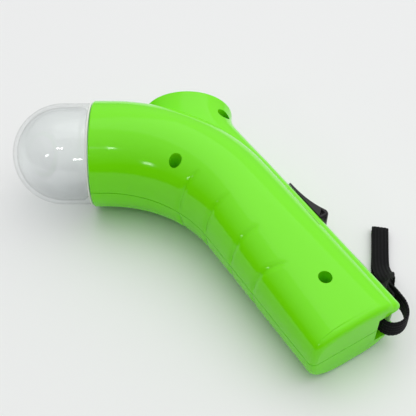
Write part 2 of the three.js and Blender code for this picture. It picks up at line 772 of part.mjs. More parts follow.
function springCap() {
  const plug = TUBE_RADIUS - TUBE_WALL - CLEARANCE;
  const flangeFront = tubeEnd + CLEARANCE;
  const profile = [
    [0, capFront - GUIDE_REACH],
    [GUIDE_RADIUS - GUIDE_CHAMFER, capFront - GUIDE_REACH],
    [GUIDE_RADIUS, capFront - GUIDE_REACH + GUIDE_CHAMFER],
    [GUIDE_RADIUS, capFront],
    [plug, capFront],
    [plug, flangeFront],
    [TUBE_RADIUS, flangeFront],
    [TUBE_RADIUS, flangeFront + CAP_FLANGE],
    [0, flangeFront + CAP_FLANGE],
  ];
  return turned(profile, tubeFrame);
}

// Thumb slide and carriage
const carriageRear = NOTCH_FRONT - NOTCH_WALL - SLIDE_TRAVEL - 2 * CLEARANCE;

function thumbSlide() {
  const base = SPINE_SIDE - THUMB_DEPTH;
  const at = ([along, rise]) => [THUMB_FRONT + along * THUMB_LENGTH, SPINE_SIDE + rise * THUMB_RISE];
  const outline = new THREE.Shape();
  outline.moveTo(THUMB_FRONT, base);
  outline.lineTo(THUMB_FRONT, SPINE_SIDE + THUMB_TOE);
  outline.bezierCurveTo(...THUMB_CURVE_SHARES.flatMap(at));
  outline.quadraticCurveTo(...at([1, 1]), ...at([1, THUMB_HEEL_SHARE]));
  outline.lineTo(THUMB_FRONT + THUMB_LENGTH, base);
  outline.closePath();
  const depth = 2 * (THUMB_HALF_WIDTH - THUMB_ROUND);
  const geometry = new THREE.ExtrudeGeometry(outline, {
    depth,
    curveSegments: THUMB_CURVE_STEPS,
    bevelThickness: THUMB_ROUND,
    bevelSize: THUMB_ROUND,
    bevelOffset: -THUMB_ROUND,
    bevelSegments: THUMB_ROUND_STEPS,
  });
  geometry.translate(0, 0, -depth / 2);
  const stem = block(
    [STEM_FRONT, CARRIAGE_SIDE + CARRIAGE_THICKNESS - STEM_ENGAGEMENT, -STEM_HALF_WIDTH],
    [STEM_FRONT + STEM_LENGTH, SPINE_SIDE + THUMB_TOE / 2, STEM_HALF_WIDTH],
    handleFrame,
  );
  const clear = loft(bandRow, CLEARANCE);
  return solidOf(geometry.applyMatrix4(handleFrame)).subtract(clear).add(stem);
}

function slideCarriage() {
  const bar = block(
    [CARRIAGE_FRONT, CARRIAGE_SIDE, -CARRIAGE_HALF_WIDTH],
    [carriageRear, CARRIAGE_SIDE + CARRIAGE_THICKNESS, CARRIAGE_HALF_WIDTH],
    handleFrame,
  );
  const socketFloor = CARRIAGE_SIDE + CARRIAGE_THICKNESS - STEM_ENGAGEMENT - CLEARANCE;
  const socket = block(
    [STEM_FRONT - CLEARANCE, socketFloor, -STEM_HALF_WIDTH - CLEARANCE],
    [STEM_FRONT + STEM_LENGTH + CLEARANCE, SPINE_SIDE, STEM_HALF_WIDTH + CLEARANCE],
    handleFrame,
  );
  const pinPlace = onHandle(ARM_FRONT + ARM_LENGTH / 2, 0);
  const pinFrame = frameAlong(
    new THREE.Vector3(ACROSS.x, ACROSS.y, 0),
    new THREE.Vector3(pinPlace.x, pinPlace.y, 0),
  );
  const pinTop = CARRIAGE_SIDE + CARRIAGE_THICKNESS / 2 + CLEARANCE;
  const hole = rod(ARM_PIN_RADIUS + CLEARANCE, TUBE_SIDE, pinTop, pinFrame, SMALL_SIDES);
  return bar.subtract(socket).subtract(hole);
}

/** Oval plate that closes the muzzle round the launch tube. */
function muzzlePlate() {
  const top = MUZZLE_REACH - PLATE_INSET;
  const slice = block([-farAway, top - PLATE_THICKNESS, -farAway], [farAway, top, farAway]);
  const above = moved(bandRow[0], new THREE.Vector2(0, OVERRUN));
  const oval = loft([above, ...bandRow].map((section) => inset(section, WALL + CLEARANCE)));
  return oval.intersect(slice).subtract(tubeSpace);
}

// Materials
function material(color, roughness, metalness = 0) {
  return new THREE.MeshStandardMaterial({ color, roughness, metalness });
}

const limePlastic = () => material(0x76dd2a, 0.25);
const blackPlastic = () => material(0x17181a, 0.4);
const whitePlastic = () => material(0xe9ebe6, 0.45);
const rubber = () => material(0xf2f3ee, 0.6);
const steel = () => material(0xb9bcbf, 0.3, 1);
const blackSteel = () => material(0x26282a, 0.4, 1);

function clearPlastic() {
  const clear = material(0xf4f7f5, 0.08);
  clear.transparent = true;
  clear.opacity = 0.3;
  return clear;
}

const body = new THREE.Group();

function addPiece(name, solid, look) {
  const mesh = new THREE.Mesh(geometryOf(solid), look);
  mesh.name = name;
  body.add(mesh);
}

addPiece("upper_shell", upperShell(), limePlastic());
addPiece("lower_shell", lowerShell(), limePlastic());
addPiece("muzzle_plate", muzzlePlate(), limePlastic());
addPiece("treat_dome", dome(), clearPlastic());
addPiece("dome_gasket", gasket(), rubber());
addPiece("hopper_funnel", funnel(), whitePlastic());
addPiece("launch_tube", launchTube(), whitePlastic());
addPiece("striker", striker(), whitePlastic());
addPiece("striker_pad", strikerPad(), rubber());
addPiece("main_spring", mainSpring(), steel());
addPiece("spring_cap", springCap(), blackPlastic());
addPiece("thumb_slide", thumbSlide(), blackPlastic());
addPiece("slide_carriage", slideCarriage(), blackPlastic());
for (const place of screwPlaces) {
  addPiece(place.name, screw(place), blackSteel());
}

// The body lies on the barrel and on the butt's lower edge
body.rotation.x = Math.atan(TAPER);
body.updateMatrixWorld(true);
const box = new THREE.Box3().setFromObject(body, true);
body.position.set(-(box.min.x + box.max.x) / 2, -(box.min.y + box.max.y) / 2, -box.min.z);

// Route of the strap: reach, side and height on the body, then x, y and z on the table.
// The fourth number is the share to which the webbing lies flat.
const EYE_ROUTE = [
  [96, 28.6, -2.5, 0],
  [101, 28.3, -2, 0],
  [106.5, 27.2, -1.5, 0],
  [110.6, 24.2, -1, 0],
  [111.8, 20, -0.8, 0],
  [110.3, 16.4, -0.6, 0],
  [106.8, 15.1, -0.5, 0],
  [103.4, 16.2, -0.5, 0],
  [102.2, 19.2, -0.8, 0],
  [102.2, 22.8, -1.2, 0],
  [101.2, 25.8, -1.8, 0],
  [97.4, 26.9, -2.6, 0],
];
const TABLE_ROUTE = [
  [73.6, -24.5, 9.5, 0.2],
  [74, -19, 5.6, 0.55],
  [74, -13.5, 2.4, 0.9],
  [74.6, -8, 1, 1],
  [75.6, -2, 0.9, 1],
  [76.8, 6, 0.9, 1],
  [77.9, 13.2, 0.9, 1],
  [78.1, 14.1, 1.7, 1],
  [77.9, 13.2, 2.5, 1],
  [76.8, 6, 2.5, 1],
  [75.6, -2, 2.5, 1],
  [74.9, -8, 2.8, 1],
  [74.8, -13.5, 4.6, 0.8],
  [75.2, -19, 7.6, 0.4],
  [75.2, -24.5, 11, 0.1],
];
const STITCHED_END = [96.4, 30.3, -2.4, 0];

/** Flat webbing along a route, with its width turned from upright to lying flat. */
function webbing(route) {
  const path = new THREE.CatmullRomCurve3(route.map(({ place }) => place), false, "centripetal");
  const [halfWidth, halfThickness] = [STRAP_WIDTH / 2, STRAP_THICKNESS / 2];
  const section = [
    [halfWidth, halfThickness - STRAP_CORNER],
    [halfWidth - STRAP_CORNER, halfThickness],
    [STRAP_CORNER - halfWidth, halfThickness],
    [-halfWidth, halfThickness - STRAP_CORNER],
    [-halfWidth, STRAP_CORNER - halfThickness],
    [STRAP_CORNER - halfWidth, -halfThickness],
    [halfWidth - STRAP_CORNER, -halfThickness],
    [halfWidth, STRAP_CORNER - halfThickness],
  ];
  const points = [];
  const faces = [];
  const steps = STRAP_STEPS * (route.length - 1);
  for (let i = 0; i <= steps; i += 1) {
    const at = i / STRAP_STEPS;
    const step = Math.min(Math.floor(at), route.length - 2);
    const flat = THREE.MathUtils.lerp(route[step].flat, route[step + 1].flat, at - step);
    const tangent = path.getTangent(at / (route.length - 1));
    const width = UP.clone().lerp(STRAP_RUN, flat);
    width.addScaledVector(tangent, -width.dot(tangent)).normalize();
    const depth = new THREE.Vector3().crossVectors(tangent, width);
    const centre = path.getPoint(at / (route.length - 1));
    for (const [across, thick] of section) {
      points.push(centre.clone().addScaledVector(width, across).addScaledVector(depth, thick));
    }
  }
  const sides = section.length;
  for (let i = 0; i < steps; i += 1) {
    for (let j = 0; j < sides; j += 1) {
      const [a, b] = [i * sides + j, i * sides + ((j + 1) % sides)];
      faces.push(a, b, b + sides, a, b + sides, a + sides);
    }
  }
  for (let j = 1; j + 1 < sides; j += 1) {
    const end = steps * sides;
    faces.push(0, j + 1, j, end, end + j, end + j + 1);
  }
  const geometry = new THREE.BufferGeometry().setFromPoints(points);
  geometry.setIndex(faces);
  return solidOf(geometry);
}

body.updateMatrixWorld(true);
const bodyToTable = body.matrixWorld.clone().multiply(handleFrame);
const onBody = ([x, y, z, flat]) => ({ place: new THREE.Vector3(x, y, z).applyMatrix4(bodyToTable), flat });
const onTable = ([x, y, z, flat]) => ({ place: new THREE.Vector3(x, y, z), flat });
const strapRoute = [...EYE_ROUTE.map(onBody), ...TABLE_ROUTE.map(onTable), onBody(STITCHED_END)];
const strap = new THREE.Mesh(geometryOf(webbing(strapRoute)), material(0x0b0b0c, 0.85));
strap.name = "wrist_strap";

const group = new THREE.Group();
group.add(body, strap);

export default group;
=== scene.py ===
"""Dog treat launcher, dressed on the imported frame.

The body is worked out in its own frame, in millimetres, with the parting plane at z = 0, the barrel
along -X, the muzzle facing +Y and the handle turned away from +X. Every mesh is then put into the
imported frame, in metres, in which the launcher lies on the table.
"""

from __future__ import annotations

import logging
import math
from dataclasses import dataclass, field
from enum import Enum
from functools import cache
from typing import Callable, Sequence

import bmesh
import bpy
import numpy as np
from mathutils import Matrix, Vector

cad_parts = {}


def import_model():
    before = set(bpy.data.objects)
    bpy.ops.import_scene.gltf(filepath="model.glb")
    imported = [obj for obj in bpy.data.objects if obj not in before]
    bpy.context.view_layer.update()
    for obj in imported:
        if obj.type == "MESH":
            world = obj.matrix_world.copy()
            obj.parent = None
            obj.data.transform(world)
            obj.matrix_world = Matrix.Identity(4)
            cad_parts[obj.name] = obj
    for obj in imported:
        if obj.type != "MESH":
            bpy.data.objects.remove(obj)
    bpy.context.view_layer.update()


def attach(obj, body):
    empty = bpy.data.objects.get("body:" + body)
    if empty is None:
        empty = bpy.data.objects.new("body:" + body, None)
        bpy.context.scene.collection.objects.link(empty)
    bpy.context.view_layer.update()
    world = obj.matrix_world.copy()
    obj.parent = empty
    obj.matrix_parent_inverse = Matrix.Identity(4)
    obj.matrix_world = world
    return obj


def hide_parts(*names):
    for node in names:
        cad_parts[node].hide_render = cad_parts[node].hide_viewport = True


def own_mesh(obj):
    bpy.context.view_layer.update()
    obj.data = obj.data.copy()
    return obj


LOG = logging.getLogger("launcher")

MM = 0.001
# How the body lies on the table: a tilt about X, then a shift to the frame's origin.
TILT_COS = 0.994952
TILT_SIN = 0.100349
LIFT_MM = np.array([-1.942825, 37.677904, 22.014386])
SMOOTH_ANGLE = math.radians(32)
# Phase that a wave texture runs through in one unit, at a scale of one.
WAVE_RADIANS = 20

Array = np.ndarray
Mesh = bpy.types.Mesh
Pair = tuple[float, float]
Triple = tuple[float, float, float]
Quad = tuple[float, float, float, float]


class Part(Enum):
    """CAD bodies that a piece rides on."""

    BODY = "body"
    DOME = "dome"
    SLIDE = "slide"


class Slot(Enum):
    """The record's material slots."""

    LIME = "lime_shell"
    CLEAR = "clear_dome"
    WHITE = "white_inner"
    BLACK = "black_slide"
    RUBBER = "soft_rubber"
    STEEL = "steel"
    OXIDE = "oxide_steel"
    WEBBING = "black_webbing"


class Half(Enum):
    """Halves of the body, each with the sign of its side of the parting plane."""

    UPPER = 1
    LOWER = -1


# --------------------------------------------------------------------------- shared geometry


def in_frame(points: Array) -> Array:
    """Put body points, in millimetres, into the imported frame, in metres.

    Formula: a turn about X by the tilt of the body as it lies, then the shift to the frame's origin.

    Args:
        points: (N, 3) body points in millimetres.

    Returns:
        (N, 3) points in metres.
    """
    x, y, z = points.T
    turned = np.stack([x, TILT_COS * y - TILT_SIN * z, TILT_SIN * y + TILT_COS * z], axis=1)
    return (turned + LIFT_MM) * MM


def unit(vectors: Array) -> Array:
    """Scale vectors to a length of one along their last axis."""
    return vectors / np.maximum(np.linalg.norm(vectors, axis=-1, keepdims=True), 1e-12)


def cosine_steps(count: int) -> Array:
    """Values from 0 to 1 that crowd toward both ends, (1 - cos(pi t)) / 2."""
    return (1 - np.cos(np.linspace(0, np.pi, count))) / 2


def signed_power(value: Array, power: Array | float) -> Array:
    """Raise the size of a value to a power and keep its sign."""
    return np.sign(value) * np.abs(value) ** power


def oval_height(across: Array, half: Array | float, power: Array | float) -> Array:
    """Height of an oval section, half * (1 - |across|^power)^(1/power), negative outside it."""
    return half * signed_power(1 - np.abs(across) ** power, 1 / power)


def grid_quads(rows: int, columns: int, wrap: bool = False) -> Array:
    """Corner indices of the cells of a grid that is stored row by row.

    Args:
        rows: number of rows of points.
        columns: number of points in a row.
        wrap: whether the last column joins the first.

    Returns:
        (F, 4) indices, turning from the rows' direction to the columns'.
    """
    i, j = np.meshgrid(np.arange(rows - 1), np.arange(columns if wrap else columns - 1), indexing="ij")
    nxt = (j + 1) % columns
    a, b = i * columns + j, i * columns + nxt
    return np.stack([a, a + columns, b + columns, b], axis=-1).reshape(-1, 4)


def tube_faces(rows: int, columns: int) -> list[tuple[int, ...]]:
    """Faces of a closed tube: the cells between its rings, and one face over each end.

    Args:
        rows: number of rings.
        columns: number of points in a ring.

    Returns:
        Corner indices of each face.
    """
    faces = [tuple(q) for q in grid_quads(rows, columns, wrap=True)]
    return [*faces, tuple(range(columns - 1, -1, -1)), tuple(range((rows - 1) * columns, rows * columns))]


def new_mesh(points: Array, faces: Sequence[Sequence[int]] | Array) -> Mesh:
    """Make a clean closed mesh from body points, with its faces turned outwards.

    Args:
        points: (N, 3) body points in millimetres.
        faces: corner indices of each face.

    Returns:
        The mesh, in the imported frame.
    """
    mesh = bpy.data.meshes.new("shape")
    mesh.from_pydata(in_frame(points), [], [tuple(f) for f in np.asarray(faces, dtype=object)])
    build = bmesh.new()
    build.from_mesh(mesh)
    bmesh.ops.remove_doubles(build, verts=build.verts, dist=2e-6)
    bmesh.ops.dissolve_degenerate(build, edges=build.edges, dist=1e-6)
    bmesh.ops.recalc_face_normals(build, faces=build.faces)
    if build.calc_volume(signed=True) < 0:
        bmesh.ops.reverse_faces(build, faces=build.faces)
    build.to_mesh(mesh)
    build.free()
    return mesh


@dataclass(frozen=True)
class Axes:
    """A local frame of the body: an origin and three directions."""

    origin: Triple
    x: Triple
    y: Triple
    z: Triple

    def place(self, local: Array) -> Array:
        """Body points of (N, 3) local points."""
        return np.asarray(self.origin) + local @ np.array([self.x, self.y, self.z])


# The handle's frame: H runs from the elbow to the butt, N across it toward the back.
TURN = math.radians(58.1)
H = (math.cos(TURN), -math.sin(TURN), 0.0)
N = (math.sin(TURN), math.cos(TURN), 0.0)
UP = (0.0, 0.0, 1.0)
WORLD_AXES = Axes((0, 0, 0), (1, 0, 0), (0, 1, 0), UP)
HANDLE_AXES = Axes((0, 0, 0), H, N, UP)
BARREL_AXES = Axes((0, 0, 0), (0, 1, 0), (1, 0, 0), (0, 0, -1))


def on_handle(reach: Array | float, side: Array | float) -> Array:
    """Plan places along the handle (reach) and across it (side)."""
    return np.stack([H[0] * reach + N[0] * side, H[1] * reach + N[1] * side], axis=-1)


def upright(x: float, y: float) -> Axes:
    """Frame whose Y direction is up, at a plan place."""
    return Axes((x, y, 0), (1, 0, 0), UP, (0, -1, 0))


def turned(profile: Sequence[Pair], axes: Axes, sides: int = 96) -> Mesh:
    """Solid of revolution: each (radius, station) of the profile goes once round the frame's Y axis.

    Args:
        profile: radius and station pairs in millimetres, a closed line or one that ends on the axis.
        axes: the frame.
        sides: number of facets round.

    Returns:
        The closed mesh.
    """
    line = np.asarray(profile, float)
    angle = np.linspace(0, 2 * np.pi, sides, endpoint=False)
    radius, station = line[:, :1], line[:, 1:]
    ring = [radius * np.cos(angle), station + 0 * angle, radius * np.sin(angle)]
    local = np.stack(ring, axis=-1).reshape(-1, 3)
    return new_mesh(axes.place(local), grid_quads(len(line), sides, wrap=True))


def rounded_profile(corners: Sequence[Pair], radius: float, steps: int = 4) -> list[Pair]:
    """Round the inner corners of an open profile line, each by an arc through its two legs.

    Formula: a quadratic curve from the place a radius before the corner to the place a radius after it,
    with the corner as its handle; short legs take at most 45% of their length.

    Args:
        corners: the line's corners.
        radius: how far from a corner its round starts.
        steps: number of pieces in each round.

    Returns:
        The rounded line, with its two ends kept.
    """
    line = [np.asarray(c, float) for c in corners]
    out = [tuple(line[0])]
    for before, corner, after in zip(line, line[1:], line[2:]):
        legs = [min(radius, 0.45 * float(np.linalg.norm(p - corner))) for p in (before, after)]
        ends = [corner + unit(p - corner) * leg for p, leg in zip((before, after), legs)]
        for t in np.linspace(0, 1, steps + 1):
            out.append(tuple((1 - t) ** 2 * ends[0] + 2 * t * (1 - t) * corner + t**2 * ends[1]))
    return [*out, tuple(line[-1])]


def rod(radius: float, low: float, high: float, axes: Axes, sides: int = 64) -> Mesh:
    """Plain closed rod along the frame's Y axis."""
    return turned([(0, low), (radius, low), (radius, high), (0, high)], axes, sides)


def block(low: Sequence[float], high: Sequence[float], axes: Axes = HANDLE_AXES) -> Mesh:
    """Box between two opposite corners of a frame.

    Args:
        low: its lowest corner.
        high: its highest corner.
        axes: the frame.

    Returns:
        The closed mesh.
    """
    picks = np.array([[i & 1, i >> 1 & 1, i >> 2 & 1] for i in range(8)])
    local = np.where(picks == 1, np.asarray(high, float), np.asarray(low, float))
    faces = [(0, 2, 3, 1), (4, 5, 7, 6), (0, 1, 5, 4), (2, 6, 7, 3), (0, 4, 6, 2), (1, 3, 7, 5)]
    return new_mesh(axes.place(local), faces)


def rounded_outline(low: Pair, high: Pair, edge: float, steps: int) -> Array:
    """Rectangle with a quarter circle at each corner, anticlockwise.

    Args:
        low: its lowest corner.
        high: its highest corner.
        edge: radius of the quarter circles.
        steps: number of points in each of them.

    Returns:
        (N, 2) points.
    """
    (x0, y0), (x1, y1) = (low[0] + edge, low[1] + edge), (high[0] - edge, high[1] - edge)
    arcs = []
    for x, y, start in ((x0, y0, 180), (x1, y0, 270), (x1, y1, 0), (x0, y1, 90)):
        angle = np.radians(start) + np.radians(np.linspace(0, 90, steps))
        arcs.append(np.stack([x + edge * np.cos(angle), y + edge * np.sin(angle)], 1))
    return np.concatenate(arcs)


def pillow(outline: Array, half_depth: float, edge: float, axes: Axes, steps: int = 5) -> Mesh:
    """Flat form with a closed outline in the frame's XY plane and rounded rims.

    Formula: ring k is the outline drawn in along its normals by edge * (1 - cos a), at the depth
    half_depth - edge + edge * sin a, with the angle a from 0 to a right angle, and the same below.

    Args:
        outline: (N, 2) outline points, anticlockwise.
        half_depth: half of the thickness.
        edge: radius of the rims.
        axes: the frame.
        steps: rings in each rim.

    Returns:
        The closed mesh.
    """
    ahead, behind = unit(np.roll(outline, -1, 0) - outline), unit(outline - np.roll(outline, 1, 0))
    out_a = np.stack([ahead[:, 1], -ahead[:, 0]], 1)
    out_b = np.stack([behind[:, 1], -behind[:, 0]], 1)
    normal = unit(out_a + out_b)
    normal = normal / np.maximum((normal * out_a).sum(1, keepdims=True), 0.5)
    angle = np.linspace(0, np.pi / 2, steps + 1)
    draw, rise = edge * (1 - np.cos(angle)), half_depth - edge + edge * np.sin(angle)
    draw, rise = np.concatenate([draw[::-1], draw]), np.concatenate([-rise[::-1], rise])
    rings = outline[None] - normal[None] * draw[:, None, None]
    local = np.concatenate([rings, np.broadcast_to(rise[:, None, None], (*rings.shape[:2], 1))], axis=2)
    count = len(outline)
    faces = [tuple(q) for q in grid_quads(len(rise), count, wrap=True)]
    faces.append(tuple(range(count)))
    faces.append(tuple(range(len(rise) * count - 1, (len(rise) - 1) * count - 1, -1)))
    return new_mesh(axes.place(local.reshape(-1, 3)), faces)


def carved(base: Mesh, cuts: Sequence[Mesh], joins: Sequence[Mesh] = ()) -> Mesh:
    """Take solids out of another, then join more to it, one after the other.

    Args:
        base: the solid to start from.
        cuts: what is taken out.
        joins: what is joined to it.

    Returns:
        The finished mesh; the meshes that went in are removed.
    """
    scene = bpy.context.scene
    target = bpy.data.objects.new("carve_base", base)
    scene.collection.objects.link(target)
    helpers = []
    for mesh in (*cuts, *joins):
        helper = bpy.data.objects.new("carve_tool", mesh)
        scene.collection.objects.link(helper)
        helpers.append(helper)
        step = target.modifiers.new("carve", "BOOLEAN")
        step.solver, step.object = "MANIFOLD", helper
        step.operation = "DIFFERENCE" if len(helpers) <= len(cuts) else "UNION"
    bpy.context.view_layer.update()
    graph = bpy.context.evaluated_depsgraph_get()
    result = bpy.data.meshes.new_from_object(target.evaluated_get(graph), depsgraph=graph)
    for thing in (target, *helpers):
        bpy.data.objects.remove(thing)
    for mesh in (base, *cuts, *joins):
        bpy.data.meshes.remove(mesh)
    return result


def dressed(name: str, mesh: Mesh, part: Part, slot: Slot, replaces: str) -> bpy.types.Object:
    """Make a finished piece: smooth but for its sharp edges, with its finish, riding on its body.

    Args:
        name: the piece's name.
        mesh: its mesh.
        part: the body that it rides on.
        slot: the record's material slot, which settles its finish.
        replaces: the CAD node that it stands for.

    Returns:
        The piece's object.
    """
    mesh.polygons.foreach_set("use_smooth", np.ones(len(mesh.polygons), bool))
    mesh.set_sharp_from_angle(angle=SMOOTH_ANGLE)
    mesh.materials.clear()
    mesh.materials.append(finish_of(slot))
    mesh.name = name
    piece = bpy.data.objects.new(name, mesh)
    bpy.context.scene.collection.objects.link(piece)
    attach(piece, part.value)
    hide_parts(replaces)
    LOG.info("%s: %d faces", name, len(mesh.polygons))
    return piece


# --------------------------------------------------------------------------- finishes


def linear(colour: str) -> Quad:
    """Turn an sRGB colour to linear light.

    Args:
        colour: six hex digits, such as "76dd2a".

    Returns:
        Red, green, blue and an alpha of one.
    """
    parts = [int(colour[k : k + 2], 16) / 255 for k in (0, 2, 4)]
    light = [c / 12.92 if c <= 0.04045 else ((c + 0.055) / 1.055) ** 2.4 for c in parts]
    return (light[0], light[1], light[2], 1.0)


def node(
    tree: bpy.types.NodeTree,
    kind: str,
    settings: dict[str, object] | None = None,
    values: dict[str | int, object] | None = None,
    links: dict[str | int, bpy.types.NodeSocket] | None = None,
) -> bpy.types.Node:
    """Add a node with its settings, socket values and incoming links.

    Args:
        tree: the node tree.
        kind: the node's type name.
        settings: attributes of the node.
        values: default values of its inputs.
        links: sockets that feed its inputs.

    Returns:
        The node.
    """
    made = tree.nodes.new(kind)
    for key, value in (settings or {}).items():
        setattr(made, key, value)
    for key, value in (values or {}).items():
        made.inputs[key].default_value = value
    for key, socket in (links or {}).items():
        tree.links.new(socket, made.inputs[key])
    return made


def blank(name: str) -> tuple[bpy.types.Material, bpy.types.NodeTree]:
    """Make a material with an empty node tree.

    Args:
        name: the material's name.

    Returns:
        The material and its tree.
    """
    material = bpy.data.materials.new(name)
    material.use_nodes = True
    material.node_tree.nodes.clear()
    return material, material.node_tree


@dataclass(frozen=True)
class MouldedPlastic:
    """Injection-moulded plastic: one even colour under a gloss that its fine grain just softens.

    The colour and the gloss drift a little over a few centimetres, as the melt's flow leaves them. Real
    mould grain lies under a tenth of a millimetre apart; it is drawn at 0.6 mm, so that it shows.
    """

    name: str
    colour: str
    drift_colour: str
    roughness: float
    specular: float = 0.5
    ior: float = 1.5
    spread: Pair = (0.85, 1.15)
    drift_mm: float = 30.0
    grain_mm: float = 0.6
    grain_depth_mm: float = 0.004
    grain_strength: float = 0.35

    def material(self) -> bpy.types.Material:
        """Build it: object coordinates drive the drift of colour and gloss, and the fine bump.

        Returns:
            The material.
        """
        material, tree = blank(self.name)
        where = {"Vector": node(tree, "ShaderNodeTexCoord").outputs["Object"]}
        drift, grain = (
            node(tree, "ShaderNodeTexNoise", None, {"Scale": 1 / (size * MM), "Detail": detail}, where)
            for size, detail in ((self.drift_mm, 2.0), (self.grain_mm, 3.0))
        )
        colours = {6: linear(self.colour), 7: linear(self.drift_colour)}
        mix = node(tree, "ShaderNodeMix", {"data_type": "RGBA"}, colours, {0: drift.outputs["Fac"]})
        limits = {"To Min": self.roughness * self.spread[0], "To Max": self.roughness * self.spread[1]}
        gloss = node(tree, "ShaderNodeMapRange", None, limits, {"Value": drift.outputs["Fac"]})
        relief = {"Strength": self.grain_strength, "Distance": self.grain_depth_mm * MM}
        bump = node(tree, "ShaderNodeBump", None, relief, {"Height": grain.outputs["Fac"]})
        shader = node(
            tree,
            "ShaderNodeBsdfPrincipled",
            values={"IOR": self.ior, "Specular IOR Level": self.specular},
            links={"Base Color": mix.outputs[2], "Roughness": gloss.outputs[0], "Normal": bump.outputs[0]},
        )
        node(tree, "ShaderNodeOutputMaterial", links={"Surface": shader.outputs[0]})
        return material


@dataclass(frozen=True)
class ClearPlastic:
    """Clear blow-moulded copolyester: a thin wall, bright at its edges, with a trace of haze and waviness.

    Light goes straight through, as it does in a thin even wall. Formula: the gloss is
    F + (1 - F) * (1 - cos)^5, with F for a square look from the IOR, alike on both faces of the wall.
    """

    name: str = "clear_copolyester_blown"
    tint: str = "fdfefe"
    haze_colour: str = "f2f4f2"
    haze: float = 0.012
    roughness: float = 0.04
    ior: float = 1.52
    wave_mm: float = 14.0
    wave_depth_mm: float = 0.4
    wave_strength: float = 0.12

    def material(self) -> bpy.types.Material:
        """Build it: a see-through shader under a gloss that grows toward the edges, softly wavy.

        Returns:
            The material.
        """
        material, tree = blank(self.name)
        where = {"Vector": node(tree, "ShaderNodeTexCoord").outputs["Object"]}
        size = {"Scale": 1 / (self.wave_mm * MM), "Detail": 1.0}
        wave = node(tree, "ShaderNodeTexNoise", None, size, where)
        relief = {"Strength": self.wave_strength, "Distance": self.wave_depth_mm * MM}
        bump = node(tree, "ShaderNodeBump", None, relief, {"Height": wave.outputs["Fac"]})
        through = node(tree, "ShaderNodeBsdfTransparent", None, {"Color": linear(self.tint)})
        haze = node(tree, "ShaderNodeBsdfDiffuse", None, {"Color": linear(self.haze_colour)})
        layers = {1: through.outputs[0], 2: haze.outputs[0]}
        wall = node(tree, "ShaderNodeMixShader", None, {0: self.haze}, layers)
        normal = {"Normal": bump.outputs[0]}
        gloss = node(tree, "ShaderNodeBsdfGlossy", None, {"Roughness": self.roughness}, normal)
        facing = node(tree, "ShaderNodeLayerWeight", None, {"Blend": 0.5}, normal).outputs["Facing"]
        grazing = node(tree, "ShaderNodeMath", {"operation": "POWER"}, {1: 5.0}, {0: facing})
        square = ((self.ior - 1) / (self.ior + 1)) ** 2
        span = {1: 1 - square, 2: square}
        edge = node(tree, "ShaderNodeMath", {"operation": "MULTIPLY_ADD"}, span, {0: grazing.outputs[0]})
        layers = {0: edge.outputs[0], 1: wall.outputs[0], 2: gloss.outputs[0]}
        shader = node(tree, "ShaderNodeMixShader", links=layers)
        node(tree, "ShaderNodeOutputMaterial", links={"Surface": shader.outputs[0]})
        return material


@dataclass(frozen=True)
class BrightMetal:
    """Drawn or headed steel: metal bright or blackened by its finish, with faint streaks in its gloss; the
    blackened screws' dark colour also stands in for painted shade in their holes.

    Real drawing marks are finer than a tenth of a millimetre; they are drawn at 0.5 mm, so that they show.
    """

    name: str
    colour: str
    roughness: float
    spread: Pair = (0.8, 1.25)
    streak_mm: float = 0.5

    def material(self) -> bpy.types.Material:
        """Build it: a metal whose roughness varies in fine streaks.

        Returns:
            The material.
        """
        material, tree = blank(self.name)
        where = {"Vector": node(tree, "ShaderNodeTexCoord").outputs["Object"]}
        size = {"Scale": 1 / (self.streak_mm * MM), "Detail": 2.0}
        streak = node(tree, "ShaderNodeTexNoise", None, size, where)
        limits = {"To Min": self.roughness * self.spread[0], "To Max": self.roughness * self.spread[1]}
        rough = node(tree, "ShaderNodeMapRange", None, limits, {"Value": streak.outputs["Fac"]})
        metal = {"Base Color": linear(self.colour), "Metallic": 1.0}
        links = {"Roughness": rough.outputs[0]}
        shader = node(tree, "ShaderNodeBsdfPrincipled", None, metal, links)
        node(tree, "ShaderNodeOutputMaterial", links={"Surface": shader.outputs[0]})
        return material


